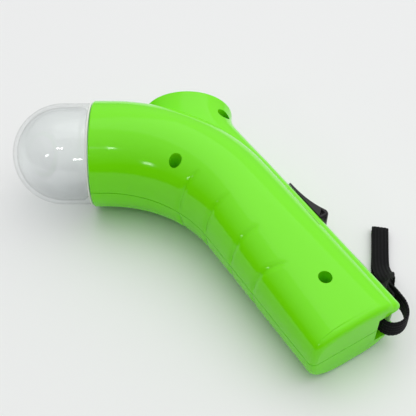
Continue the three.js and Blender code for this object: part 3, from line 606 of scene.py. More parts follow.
@dataclass(frozen=True)
class WovenNylon:
    """Narrow woven nylon webbing: matt black yarn in lengthwise ribs, painted greyer where its picks stand
    up, a painted sheen.

    Real picks lie about 0.4 mm apart, finer than the render shows; they are drawn at 0.8 mm. The warp's
    spacing is that of the ribs, 5 across 6.8 mm.
    """

    name: str = "black_nylon_webbing"
    yarn: str = "030304"
    raised_pick_sheen: str = "1d1d20"
    pick_mm: float = 0.8
    warp_mm: float = 1.36
    relief_mm: float = 0.12
    relief_strength: float = 0.7
    roughness: float = 0.7
    specular: float = 0.14
    ior: float = 1.5
    sheen: float = 0.03
    sheen_roughness: float = 0.4

    def material(self) -> bpy.types.Material:
        """Build it: the UV map runs in metres along and across the webbing and drives the weave.

        Returns:
            The material.
        """
        material, tree = blank(self.name)
        where = {"Vector": node(tree, "ShaderNodeUVMap", {"uv_map": "webbing"}).outputs[0]}
        threads = {}
        for index, way, spacing, stray in ((0, "X", self.pick_mm, 0.6), (1, "Y", self.warp_mm, 0.4)):
            wave = {"wave_type": "BANDS", "bands_direction": way, "wave_profile": "SIN"}
            size = 1 / (spacing * MM) / WAVE_RADIANS * 2 * math.pi
            values = {"Scale": size, "Distortion": stray, "Detail": 1.0}
            threads[index] = node(tree, "ShaderNodeTexWave", wave, values, where).outputs["Fac"]
        weave = node(tree, "ShaderNodeMath", {"operation": "MULTIPLY"}, links=threads).outputs[0]
        # Painted sheen: the yarn's colour turns greyer where the weave stands up, as if light caught the
        # raised picks.
        colours = {6: linear(self.yarn), 7: linear(self.raised_pick_sheen)}
        mix = node(tree, "ShaderNodeMix", {"data_type": "RGBA"}, colours, {0: weave})
        relief = {"Strength": self.relief_strength, "Distance": self.relief_mm * MM}
        bump = node(tree, "ShaderNodeBump", None, relief, {"Height": weave})
        shader = node(
            tree,
            "ShaderNodeBsdfPrincipled",
            values={
                "Roughness": self.roughness,
                "IOR": self.ior,
                "Specular IOR Level": self.specular,
                "Sheen Weight": self.sheen,
                "Sheen Roughness": self.sheen_roughness,
            },
            links={"Base Color": mix.outputs[2], "Normal": bump.outputs[0]},
        )
        node(tree, "ShaderNodeOutputMaterial", links={"Surface": shader.outputs[0]})
        return material


FINISHES: dict[Slot, MouldedPlastic | ClearPlastic | BrightMetal | WovenNylon] = {
    # ABS from a polished mould: a deep even lime under a clear gloss that is a little weaker than glass.
    Slot.LIME: MouldedPlastic("lime_abs_moulded", "79ed08", "7cee0c", 0.1, specular=0.33),
    Slot.CLEAR: ClearPlastic(),
    # Polypropylene: slightly waxy white, with a broad dull gloss.
    Slot.WHITE: MouldedPlastic("white_pp_moulded", "e9ebe6", "e4e6e1", 0.42),
    # ABS in black: near black, with softer highlights than the body's.
    Slot.BLACK: MouldedPlastic("black_abs_moulded", "08090a", "0c0d0f", 0.22, specular=0.3),
    # Thermoplastic rubber: matt white, with a deeper grain.
    Slot.RUBBER: MouldedPlastic("white_tpe_moulded", "eef0ea", "e8eae4", 0.6, grain_depth_mm=0.01),
    # Drawn spring wire: bright, with clear highlights along each turn.
    Slot.STEEL: BrightMetal("spring_steel_drawn", "c9cbcd", 0.28),
    # Black oxide over steel: dark grey, dull, still metal at its edges; its dark colour also stands in for
    # the shade deep in the screw holes, a painted shade.
    Slot.OXIDE: BrightMetal("black_oxide_screw_painted_hole_shade", "26282a", 0.42),
    Slot.WEBBING: WovenNylon(),
}


@cache
def finish_of(slot: Slot) -> bpy.types.Material:
    """The slot's material, made once."""
    return FINISHES[slot].material()


# --------------------------------------------------------------------------- the two shells


@dataclass(frozen=True)
class FilletPath:
    """Two straight runs joined by an arc, in plan."""

    start: Pair
    corner: Pair
    end: Pair
    radius: float

    def _parts(self) -> tuple[Array, Array, float, float, float, Array]:
        """Work out the path's parts.

        Returns:
            Directions of the runs, the turn's sign and size, the first run's length and the arc's centre.
        """
        start, corner, end = map(np.asarray, (self.start, self.corner, self.end))
        inward, outward = unit(corner - start), unit(end - corner)
        turn = math.acos(float(inward @ outward))
        side = math.copysign(1.0, inward[0] * outward[1] - inward[1] * outward[0])
        first = float(np.linalg.norm(corner - start)) - self.radius * math.tan(turn / 2)
        centre = start + inward * first + side * self.radius * np.array([-inward[1], inward[0]])
        return inward, outward, side, turn, first, centre

    def length(self) -> float:
        """Whole length of the path."""
        _, _, _, turn, first, _ = self._parts()
        last = math.dist(self.corner, self.end) - self.radius * math.tan(turn / 2)
        return first + self.radius * turn + last

    def at(self, share: Array) -> Array:
        """Points at shares of the length: the first run, then the arc, then the last run.

        Args:
            share: shares of the path's length.

        Returns:
            Plan points, one for each share.
        """
        inward, outward, side, turn, first, centre = self._parts()
        along = np.asarray(share, float) * self.length()
        start = np.asarray(self.start, float)
        lead = start + inward * np.minimum(along, first)[..., None]
        angle = side * np.clip((along - first) / self.radius, 0, turn)
        cos, sin = np.cos(angle), np.sin(angle)
        arm = start + inward * first - centre
        bend = centre + np.stack([arm[0] * cos - arm[1] * sin, arm[0] * sin + arm[1] * cos], -1)
        tail = bend + outward * np.maximum(along - first - self.radius * turn, 0)[..., None]
        return np.where((along <= first)[..., None], lead, tail)


@dataclass(frozen=True)
class Rows:
    """Straight plan rows across the body: where each starts, its direction, and its section's sizes."""

    start: Array
    direction: Array
    width: Array
    half: Array
    power: Array
    draw: Array


@dataclass(frozen=True)
class Trim:
    """How a grid over the form is bounded: the muzzle's plane, the crease's k and the band's last reach."""

    muzzle_plane: float
    blend: float
    band_end: float = math.inf


@dataclass
class Housing:
    """The moulded body: an elbow that bends from barrel to handle, and a band behind its crease.

    The elbow's section is an oval between the crook outline and the back outline. The band starts as the
    oval muzzle, turns round the neck and runs down the handle's back as its spine. A groove is its start
    and end as shares of the outlines and its reach as a share of half the section. A screw is its node,
    its place in plan, the level of its seat and the depth of its grip below the parting plane.
    """

    wall: float = 2.3
    barrel_radius: float = 22.0
    mouth_reach: float = 37.8
    handle_reach: float = 109.0
    crook_side: float = 16.0
    back_side: float = 21.0
    crook_radius: float = 48.6
    back_radius: float = 75.6
    butt_half: float = 12.8
    waist_sag: float = 0.5
    butt_fillet: float = 2.6
    spine_side: float = 23.6
    spine_width: float = 20.0
    spine_half: float = 10.0
    spine_butt_half: float = 9.6
    spine_power: float = 2.8
    muzzle_reach: float = 23.0
    muzzle_centre: float = 0.3
    muzzle_half_width: float = 19.2
    muzzle_half_height: float = 14.7
    neck_radius: float = 21.0
    neck_reach: float = 27.0
    notch_front: float = 100.5
    notch_wall: float = 1.8
    parting: float = 0.15
    crease_blend: float = 0.35
    room_blend: float = 0.4
    crease_limit: float = 0.985
    rim_round: float = 0.6
    overrun: float = 4.0
    facet_margin: float = 0.03
    butt_margin: float = 0.075
    below: float = -50.0
    row_overreach: float = 25.0
    row_samples: int = 420
    row_halvings: int = 30
    neck_halvings: int = 24
    probes: int = 2000
    barrel_probes: int = 900
    rim_steps: int = 7
    butt_steps: int = 10
    outer_rows: tuple[int, int, int] = (90, 150, 300)
    outer_columns: tuple[int, int] = (104, 44)
    room_rows: tuple[int, int, int] = (30, 60, 70)
    room_columns: tuple[int, int] = (40, 24)
    groove_depth: float = 0.42
    groove_half_width: float = 2.4
    groove_line_depth: float = 0.3
    groove_line_half_width: float = 0.85
    groove_points: int = 240
    groove_window: float = 30.0
    groove_fade_height: float = 2.5
    grooves: tuple[Triple, ...] = (
        (0.311, 0.364, 0.345),
        (0.433, 0.489, 0.377),
        (0.579, 0.628, 0.419),
        (0.701, 0.763, 0.417),
    )
    screw_places: tuple[tuple[str, float, float, float, float], ...] = (
        ("elbow_screw", -3.4, -20.6, 8.0, 7.0),
        ("muzzle_screw", 15.7, 14.4, 3.5, 5.0),
        ("handle_screw", 49.486, -73.564, 6.0, 9.0),
    )
    crook: FilletPath = field(init=False)
    back: FilletPath = field(init=False)
    neck: FilletPath = field(init=False)

    def __post_init__(self) -> None:
        """Work out the three plan outlines from the sizes."""

        def corner(level: float, side: float) -> Pair:
            """Where the handle's line at a side crosses a level."""
            return ((side - level * N[1]) / N[0], level)

        def butt(side: float) -> Pair:
            """End of the handle's line at a side."""
            return tuple(on_handle(self.handle_reach, side))

        radius, mouth = self.barrel_radius, -self.mouth_reach
        crook, back = -self.crook_side, self.back_side
        self.crook = FilletPath((mouth, -radius), corner(-radius, crook), butt(crook), self.crook_radius)
        self.back = FilletPath((mouth, radius), corner(radius, back), butt(back), self.back_radius)
        right = self.muzzle_centre + self.muzzle_half_width
        self.neck = FilletPath(
            (right, self.muzzle_reach),
            (right, (self.spine_side - N[0] * right) / N[1]),
            tuple(on_handle(self.neck_reach, self.spine_side)),
            self.neck_radius,
        )

    # ---- the form as a height over the plan

    def elbow_rows(self, share: Array, draw: Array | float = 0.0, shift: Array | float = 0.0) -> Rows:
        """Rows across the elbow at shares of its outlines.

        Args:
            share: shares of the crook's and the back's length.
            draw: how far each section is drawn in all round.
            shift: how far each row is moved along the handle.

        Returns:
            The rows. A section's half tapers with depth below the barrel and sags at the waist, and its
            power goes from 2, round, at the mouth to 3 at the butt.
        """
        share = np.asarray(share, float)
        start, end = self.crook.at(share), self.back.at(share)
        butt_depth = -float(on_handle(self.handle_reach, (self.back_side - self.crook_side) / 2)[1])
        depth = np.maximum(0, -(start + end)[:, 1] / 2)
        taper = (self.barrel_radius - self.butt_half) / butt_depth
        half = self.barrel_radius - taper * depth - self.waist_sag * np.sin(np.pi * depth / butt_depth)
        across = end - start
        move = np.broadcast_to(np.asarray(shift, float), share.shape)[:, None] * np.array(H[:2])
        return Rows(
            start + move,
            unit(across),
            np.linalg.norm(across, axis=1),
            half,
            2 + np.clip(share, 0, 1) ** 2,
            np.broadcast_to(np.asarray(draw, float), share.shape),
        )

    def elbow_height(self, rows: Rows, along: Array) -> Array:
        """Height of the elbow at distances along each row, an oval between the two outlines.

        Args:
            rows: the rows.
            along: (rows, points) distances along them.

        Returns:
            Heights, negative outside the elbow.
        """
        reach = (rows.width / 2)[:, None]
        draw = rows.draw[:, None]
        across = (along - reach) / (reach - draw)
        return oval_height(across, rows.half[:, None] - draw, rows.power[:, None])

    def spine_half_at(self, reach: Array | float) -> Array | float:
        """Half thickness of the spine, straight from its root to the butt."""
        return self.spine_half + (self.spine_butt_half - self.spine_half) * reach / self.handle_reach

    def _neck_ends(self, share: Array) -> tuple[Array, Array]:
        """Plan ends of the neck's sections.

        Formula: on the left a quadratic curve from the muzzle to the spine, with its handle straight below
        the muzzle's end, and on the right the neck's outline.

        Args:
            share: how far along the neck each section lies, from 0 to 1.

        Returns:
            The left and the right ends.
        """
        left = self.muzzle_centre - self.muzzle_half_width
        a, b = np.array([left, self.muzzle_reach]), np.array([left, 0.0])
        c = on_handle(self.neck_reach, self.spine_side - self.spine_width)
        t = share[..., None]
        return (1 - t) ** 2 * a + 2 * t * (1 - t) * b + t**2 * c, self.neck.at(share)

    def band_height(self, plan: Array, draw: Array) -> Array:
        """Height of the band over plan points.

        Formula: on the spine, the oval across the handle. In the neck, the section whose line passes through
        the point, found by halving the range of shares, then the oval along that line.

        Args:
            plan: (..., 2) plan points.
            draw: how far the section is drawn in at each of them.

        Returns:
            Heights, negative outside the band.
        """
        reach = plan @ np.array(H[:2])
        side = plan @ np.array(N[:2])
        centre, wide = self.spine_side - self.spine_width / 2, self.spine_width / 2 - draw
        spine = oval_height((side - centre) / wide, self.spine_half_at(reach) - draw, self.spine_power)
        low, high = np.zeros(reach.shape), np.ones(reach.shape)
        for _ in range(self.neck_halvings):
            middle = (low + high) / 2
            left, right = self._neck_ends(middle)
            line, arm = right - left, plan - left
            beyond = line[..., 0] * arm[..., 1] - line[..., 1] * arm[..., 0] < 0
            low, high = np.where(beyond, middle, low), np.where(beyond, high, middle)
        left, right = self._neck_ends(low)
        line = right - left
        length = np.linalg.norm(line, axis=-1)
        across = ((plan - left) * line).sum(-1) / length
        half = self.muzzle_half_height + (self.spine_half_at(self.neck_reach) - self.muzzle_half_height) * low
        power = 2 + (self.spine_power - 2) * low
        neck = oval_height((across - length / 2) / (length / 2 - draw), half - draw, power)
        return np.where(reach >= self.neck_reach, spine, neck)

    def height(self, rows: Rows, along: Array, trim: Trim) -> tuple[Array, Array, Array]:
        """Height of the whole form at distances along rows, and its two parts.

        Formula: the larger of elbow and band with a rounded crease, (a + b + sqrt((a - b)^2 + k^2)) / 2.

        Args:
            rows: the rows.
            along: (rows, points) distances along them.
            trim: the form's bounds.

        Returns:
            The height, the elbow's height and the band's height.
        """
        plan = rows.start[:, None] + rows.direction[:, None] * along[..., None]
        elbow = self.elbow_height(rows, along)
        band = self.band_height(plan, np.broadcast_to(rows.draw[:, None], along.shape))
        band = np.where(plan @ np.array(H[:2]) > trim.band_end, self.below, band)
        gap = elbow - band
        return (elbow + band + np.sqrt(gap**2 + trim.blend**2)) / 2, elbow, band

    def span(self, rows: Rows, trim: Trim) -> tuple[Array, Array, Array]:
        """Where each row enters the form, meets the crease and leaves it, found by sampling and halving.

        Args:
            rows: the rows.
            trim: the form's bounds.

        Returns:
            Three arrays of distances along the rows.
        """
        rise = np.maximum(rows.direction[:, 1], 1e-6)
        limit = np.minimum(rows.width + self.row_overreach, (trim.muzzle_plane - rows.start[:, 1]) / rise)
        end = self.row_samples - 1
        at = np.linspace(0, 1, self.row_samples)[None] * limit[:, None]
        height, elbow, band = self.height(rows, at, trim)
        inside = height >= self.parting
        first = inside.argmax(1)
        last = end - inside[:, ::-1].argmax(1)
        over = (band > elbow) & inside
        crease = np.where(over.any(1), over.argmax(1), last)
        index = np.arange(len(first))

        def halve(low: Array, high: Array, test: Callable[[Array, Array, Array], Array]) -> Array:
            """Narrow each row down to where a test starts to hold.

            Args:
                low: distances at which the test fails.
                high: distances at which it holds.
                test: the test of the whole height, the elbow's and the band's.

            Returns:
                Distances at which it just holds.
            """
            for _ in range(self.row_halvings):
                middle = (low + high) / 2
                held = test(*(v[:, 0] for v in self.height(rows, middle[:, None], trim)))
                low, high = np.where(held, low, middle), np.where(held, middle, high)
            return high

        def covered(whole: Array, _elbow: Array, _band: Array) -> Array:
            """Whether the form stands above the parting plane."""
            return whole >= self.parting

        def behind(_whole: Array, elbow: Array, band: Array) -> Array:
            """Whether the band stands above the elbow."""
            return band > elbow

        enter = halve(at[index, np.maximum(first - 1, 0)], at[index, first], covered)
        leave = halve(at[index, np.minimum(last + 1, end)], at[index, last], covered)
        meet = halve(at[index, np.maximum(crease - 1, 0)], at[index, crease], behind)
        return enter, np.minimum(meet, enter + self.crease_limit * (leave - enter)), leave

    def plan_grid(self, rows: Rows, columns: tuple[int, int], trim: Trim) -> Array:
        """A grid over the form whose columns crowd at the rims and on both sides of the crease.

        Args:
            rows: the rows.
            columns: number of points before the crease and behind it.
            trim: the form's bounds.

        Returns:
            (rows, points, 3) body points with z at the form's height.
        """
        enter, meet, leave = self.span(rows, trim)
        near = enter[:, None] + (meet - enter)[:, None] * cosine_steps(columns[0])
        far = meet[:, None] + (leave - meet)[:, None] * cosine_steps(columns[1])[1:]
        along = np.concatenate([near, far], axis=1)
        height = np.maximum(self.height(rows, along, trim)[0], self.parting)
        height[:, 0] = self.parting
        plan = rows.start[:, None] + rows.direction[:, None] * along[..., None]
        return np.concatenate([plan, height[..., None]], axis=2)

    def _row_shares(self, counts: tuple[int, int, int]) -> Array:
        """Shares of the outlines that crowd at the mouth, at both ends of the muzzle and toward the butt.

        Args:
            counts: number of rows before the muzzle, along it and behind it.

        Returns:
            The shares, up to where the butt's round starts.
        """
        probe = np.linspace(0, 0.97, self.probes)
        rows = self.elbow_rows(probe)
        top = (self.muzzle_reach - rows.start[:, 1]) / np.maximum(rows.direction[:, 1], 1e-6)
        x = rows.start[:, 0] + rows.direction[:, 0] * top
        near = slice(self.barrel_probes)
        ends = (self.muzzle_centre - self.muzzle_half_width, self.muzzle_centre + self.muzzle_half_width)
        left, right = (float(np.interp(place, x[near], probe[near])) for place in ends)
        marks = [0.0, left, right, 1 - self.butt_fillet / self.crook.length()]
        runs = [a + (b - a) * cosine_steps(n) for a, b, n in zip(marks, marks[1:], counts)]
        return np.concatenate([runs[0][:-1], runs[1][:-1], runs[2]])

    def _grooved(self, grid: Array) -> Array:
        """Sink the finger grooves along the surface normal: a soft valley with a narrow line at its bottom.

        Formula: each is depth * cos^2 of the distance from the groove's line, and their sum fades with the
        fourth power of the way to its end and to nothing at the parting plane.

        Args:
            grid: (rows, points, 3) body points.

        Returns:
            The same points, sunk where a groove passes.
        """
        du, dv = np.gradient(grid, axis=0), np.gradient(grid, axis=1)
        normal = unit(np.cross(du, dv))
        flat = grid.reshape(-1, 3)
        sink = np.zeros(len(flat))
        valley = (self.groove_depth, self.groove_half_width)
        crack = (self.groove_line_depth, self.groove_line_half_width)
        for start, end, reach in self.grooves:
            t = np.linspace(0, 1, self.groove_points)
            line = self.elbow_rows(start + (end - start) * t**2)
            angle = np.pi * (1 - t * reach)
            bend = 2 / line.power
            u = signed_power(np.cos(angle), bend)
            z = line.half * np.abs(np.sin(angle)) ** bend
            plan = line.start + line.direction * ((1 + u) / 2 * line.width)[:, None]
            points = np.concatenate([plan, z[:, None]], 1)
            near = np.abs(flat - points.mean(0)).max(1) < self.groove_window
            gap = np.linalg.norm(flat[near][:, None] - points[None], axis=2)
            best = gap.argmin(1)
            distance = gap[np.arange(len(best)), best]
            fade = 1 - t[best] ** 4
            depth = sum(
                deep * np.cos(np.clip(distance / half, 0, 1) * np.pi / 2) ** 2
                for deep, half in (valley, crack)
            )
            sink[near] = np.maximum(sink[near], fade * depth)
        lift = np.clip((flat[:, 2] - self.parting) / self.groove_fade_height, 0, 1)
        return grid - normal * (sink * lift * lift * (3 - 2 * lift)).reshape(grid.shape[:2])[..., None]

    def _closed(self, grid: Array, half: Half, floor: float) -> Mesh:
        """Close a height grid downward: a floor, walls at both outer ends and two end walls.

        Args:
            grid: (rows, points, 3) body points.
            half: upper or lower.
            floor: the floor's level on that side.

        Returns:
            The solid.
        """
        rows, columns = grid.shape[:2]
        left, right = grid[:, :1].copy(), grid[:, -1:].copy()
        left[..., 2], right[..., 2] = floor, floor
        points = np.concatenate([left, grid, right], axis=1)
        wide = columns + 2
        faces = [tuple(q) for q in grid_quads(rows, wide)]
        ends = np.arange(rows) * wide
        faces += [(b, a, a + wide - 1, b + wide - 1) for a, b in zip(ends, ends[1:])]
        faces.append(tuple(range(wide)))
        faces.append(tuple(range(rows * wide - 1, (rows - 1) * wide - 1, -1)))
        return new_mesh(points.reshape(-1, 3) * np.array([1, 1, half.value]), faces)

    def outer(self, half: Half) -> Mesh:
        """The outside of one half, with rounded mouth and butt edges and sunk grooves.

        Formula: along each rounded edge the sections are drawn in by 1 - sin or 1 - cos of the angle, times
        the round's radius, and the muzzle's edge sinks by the same arc over its last millimetres. The
        facet margin keeps the fine surface just inside the CAD's.

        Args:
            half: upper or lower.

        Returns:
            The solid.
        """
        share = self._row_shares(self.outer_rows)
        angle = np.linspace(0, np.pi / 2, self.rim_steps)[:-1]
        lead_draw = self.rim_round * (1 - np.sin(angle))
        lead = self.rim_round * (1 - np.cos(angle)) / self.crook.length()
        share = np.concatenate([lead, share[share > self.rim_round / self.crook.length()]])
        draw = self.facet_margin + np.concatenate([lead_draw, np.zeros(len(share) - len(lead))])
        turn = np.linspace(0, np.pi / 2, self.butt_steps)
        butt_draw = self.facet_margin + self.butt_fillet * (1 - np.cos(turn))
        shift = self.butt_fillet * (np.sin(turn) - 1) - self.butt_margin
        rows = self.elbow_rows(
            np.concatenate([share[:-1], np.ones(len(turn))]),
            np.concatenate([draw[:-1], butt_draw]),
            np.concatenate([np.zeros(len(share) - 1), shift]),
        )
        grid = self.plan_grid(rows, self.outer_columns, Trim(self.muzzle_reach, self.crease_blend))
        grid = self._grooved(grid)
        near_rim = np.clip((grid[..., 1] - (self.muzzle_reach - self.rim_round)) / self.rim_round, 0, 1)
        sink = self.rim_round * (1 - np.sqrt(1 - near_rim**2))
        grid[..., 2] = np.maximum(grid[..., 2] - sink, self.parting)
        return self._closed(grid, half, self.parting)

    def room(self, half: Half) -> Mesh:
        """The room inside one half, a wall in from its outside, open at the barrel's mouth and the muzzle.

        Args:
            half: upper or lower.

        Returns:
            The solid, which is taken out of the half.
        """
        share = np.concatenate([[-self.overrun / self.crook.length()], self._row_shares(self.room_rows)])
        rows = self.elbow_rows(share, self.wall)
        trim = Trim(self.muzzle_reach + self.overrun, self.room_blend, self.notch_front - self.notch_wall)
        grid = self.plan_grid(rows, self.room_columns, trim)
        return self._closed(grid, half, -self.wall)


@dataclass
class Fitted:
    """A sub-assembly that fits the housing, with the sizes on which several of them have to agree."""

    form: Housing
    clearance: float = 0.3
    travel: float = 20.0
    tube_side: float = 8.5
    tube_radius: float = 8.4
    tube_end: float = 82.5
    carriage_side: float = 17.6
    slide_stem_front: float = 51.0
    slide_stem_length: float = 8.0
    slide_stem_half_width: float = 3.0
    past_back: float = 24.0

    def tube_axes(self) -> Axes:
        """Frame whose Y direction runs down the launch tube, a step toward the handle's back."""
        return Axes(tuple([*on_handle(0.0, self.tube_side), 0.0]), N, H, UP)


@dataclass
class Shells(Fitted):
    """Upper and lower shell of lime plastic, cut from the housing's form.

    The strap post is its reach along the handle, its side across it and its radius.
    """

    post_radius: float = 3.6
    lower_post_radius: float = 3.0
    post_sides: int = 40
    hole_radius: float = 1.5
    hole_overlap: float = 4.0
    counterbore_radius: float = 2.5
    rib_places: Pair = (24.0, 68.0)
    rib_thickness: float = 1.8
    rib_reach: float = 14.0
    rib_bore_start: float = -20.0
    notch_side: float = 12.0
    notch_top: float = 6.1
    notch_bottom: float = 6.4
    notch_edge: float = 1.4
    slot_edge: float = 1.2
    box_steps: int = 7
    strap_post: Triple = (105.2, 19.4, 1.9)
    past: float = 4.0
    far: float = 40.0

    def _box(self, low: Sequence[float], high: Sequence[float], edge: float) -> Mesh:
        """Box of the handle's frame, rounded where its long edges run across the handle.

        Args:
            low: its lowest corner.
            high: its highest corner.
            edge: radius of the rounded edges.

        Returns:
            The closed mesh.
        """
        outline = rounded_outline((low[0], low[2]), (high[0], high[2]), edge, self.box_steps)
        count = len(outline)
        ends = [np.stack([outline[:, 0], np.full(count, y), outline[:, 1]], 1) for y in (low[1], high[1])]
        return new_mesh(HANDLE_AXES.place(np.concatenate(ends)), tube_faces(2, count))

    def _standing(self, post_radius: float) -> list[Mesh]:
        """What the room leaves standing: the bored ribs, the screw posts and the notch's lining.

        Args:
            post_radius: radius of the screw posts.

        Returns:
            The solids, each to be taken out of the room.
        """
        f, far, half = self.form, self.far, self.rib_thickness / 2
        solids = []
        for place in self.rib_places:
            rib = block((place - half, -f.crook_side, -far), (place + half, self.rib_reach, far))
            radius = self.tube_radius + self.clearance
            bore = rod(radius, self.rib_bore_start, self.tube_end, self.tube_axes())
            solids.append(carved(rib, [bore]))
        for _, x, y, _, _ in f.screw_places:
            solids.append(rod(post_radius, -far, far, upright(x, y), self.post_sides))
        wall, past = f.notch_wall, self.past
        low = (f.notch_front - wall, self.notch_side - wall, -self.notch_bottom - wall)
        high = (f.handle_reach + past, f.spine_side + past, self.notch_top + wall)
        solids.append(block(low, high))
        return solids

    def _half(self, half: Half, post_radius: float) -> Mesh:
        """One half: the form less its room, the slide's slot, the strap's notch and the screws' holes.

        Args:
            half: upper or lower.
            post_radius: radius of its screw posts.

        Returns:
            The shell.
        """
        f, gap, edge = self.form, self.clearance, self.form.spine_side + self.past
        slot_low = (self.slide_stem_front - gap, self.carriage_side, -self.slide_stem_half_width - gap)
        slot_end = self.slide_stem_front + self.slide_stem_length + self.travel + gap
        slot_high = (slot_end, edge, self.slide_stem_half_width + gap)
        notch_low = (f.notch_front, self.notch_side, -self.notch_bottom)
        notch_high = (f.handle_reach + self.past, edge, self.notch_top)
        cuts, joins = [
            carved(f.room(half), self._standing(post_radius)),
            self._box(slot_low, slot_high, self.slot_edge),
            self._box(notch_low, notch_high, self.notch_edge),
        ], []
        for _, x, y, seat, grip in f.screw_places:
            axes = upright(x, y)
            low, high = -grip - gap, self.hole_overlap
            if half is Half.UPPER:
                low, high = -self.hole_overlap, self.far
                cuts.append(rod(self.counterbore_radius, seat, self.far, axes))
            cuts.append(rod(self.hole_radius, low, high, axes))
        if half is Half.LOWER:
            reach, across, radius = self.strap_post
            x, y = on_handle(reach, across)
            low, high = -self.notch_bottom - f.notch_wall / 2, self.notch_top - gap
            joins.append(rod(radius, low, high, upright(float(x), float(y))))
        return carved(f.outer(half), cuts, joins)

    def build(self) -> None:
        """Make both shells."""
        upper = self._half(Half.UPPER, self.post_radius)
        dressed("shell_upper", upper, Part.BODY, Slot.LIME, "upper_shell")
        lower = self._half(Half.LOWER, self.lower_post_radius)
        dressed("shell_lower", lower, Part.BODY, Slot.LIME, "lower_shell")


# --------------------------------------------------------------------------- hopper


@dataclass
class Hopper(Fitted):
    """Clear treat dome with its seal ring, and the funnel behind it, turned round the barrel's axis."""

    dome_setback: float = 1.1
    dome_wall: float = 1.6
    dome_reach: float = 71.5
    dome_steps: int = 44
    dome_sides: int = 144
    dome_edge: float = 0.5
    neck_length: float = 7.0
    shoulder: float = 1.6
    gasket_thickness: float = 0.8
    gasket_setback: float = 0.6
    gasket_edge: float = 0.25
    gasket_sides: int = 128
    funnel_wall: float = 1.3
    funnel_flange: float = 2.0
    funnel_edge: float = 0.4
    funnel_sides: int = 112
    cone_end: float = 11.0
    spout_end: float = 6.0
    spout_radius: float = 8.3
    saddle_span: Pair = (-60.0, 80.0)

    def __post_init__(self) -> None:
        """Where the barrel's mouth lies, and the radius of what is pushed into it."""
        self.mouth = -self.form.mouth_reach
        self.front = self.mouth - self.clearance - self.gasket_thickness
        self.neck_end = self.mouth + self.neck_length
        self.neck = self.form.barrel_radius - self.form.wall - self.clearance

    def dome(self) -> None:
        """Dome: a half circle outside and inside, joined by a rim that steps in to its neck."""
        base, radius = self.front - self.clearance, self.form.barrel_radius - self.dome_setback
        lining_radius, neck = radius - self.dome_wall, self.neck
        centre = radius - self.dome_reach
        angle = np.linspace(0, np.pi / 2, self.dome_steps)
        shell, lining = (
            [(float(r * math.sin(a)), float(centre - r * math.cos(a))) for a in sweep]
            for r, sweep in ((radius, angle), (lining_radius, angle[::-1]))
        )
        rim = rounded_profile(
            [
                shell[-1],
                (radius, base),
                (neck, base),
                (neck, self.neck_end),
                (neck - self.dome_wall, self.neck_end),
                (neck - self.dome_wall, base - self.shoulder),
                (lining_radius, base - 2 * self.shoulder),
                lining[0],
            ],
            self.dome_edge,
        )
        shell[0], lining[-1] = (0.0, shell[0][1]), (0.0, lining[-1][1])
        mesh = turned(shell + rim[1:-1] + lining, BARREL_AXES, self.dome_sides)
        dressed("dome", mesh, Part.DOME, Slot.CLEAR, "treat_dome")

    def seal_ring(self) -> None:
        """Square rubber ring with rounded edges, between the dome and the barrel's rim."""
        outer, inner = self.form.barrel_radius - self.gasket_setback, self.neck + self.clearance
        front, back = self.front, self.front + self.gasket_thickness
        start = ((inner + outer) / 2, front)
        corners = [start, (outer, front), (outer, back), (inner, back), (inner, front), start]
        ring = rounded_profile(corners, self.gasket_edge)
        mesh = turned(ring, BARREL_AXES, self.gasket_sides)
        dressed("seal_ring", mesh, Part.DOME, Slot.RUBBER, "dome_gasket")

    def funnel(self) -> None:
        """Funnel: a flange, a cone and a spout, cut to the round of the launch tube."""
        neck, wall = self.neck, self.funnel_wall
        start, spout = self.neck_end + self.clearance, self.spout_radius - wall
        line = rounded_profile(
            [
                (neck - wall / 2, start),
                (neck, start),
                (neck, start + self.funnel_flange),
                (self.spout_radius, -self.cone_end),
                (self.spout_radius, self.spout_end),
                (spout, self.spout_end),
                (spout, -self.cone_end),
                (neck - wall, start + self.funnel_flange / 2),
                (neck - wall, start),
                (neck - wall / 2, start),
            ],
            self.funnel_edge,
        )
        saddle = rod(self.tube_radius + self.clearance, *self.saddle_span, self.tube_axes(), 96)
        solid = turned(line, BARREL_AXES, self.funnel_sides)
        dressed("funnel", carved(solid, [saddle]), Part.BODY, Slot.WHITE, "hopper_funnel")

    def build(self) -> None:
        """Make the dome, the ring and the funnel."""
        self.dome()
        self.seal_ring()
        self.funnel()


# --------------------------------------------------------------------------- launcher mechanism


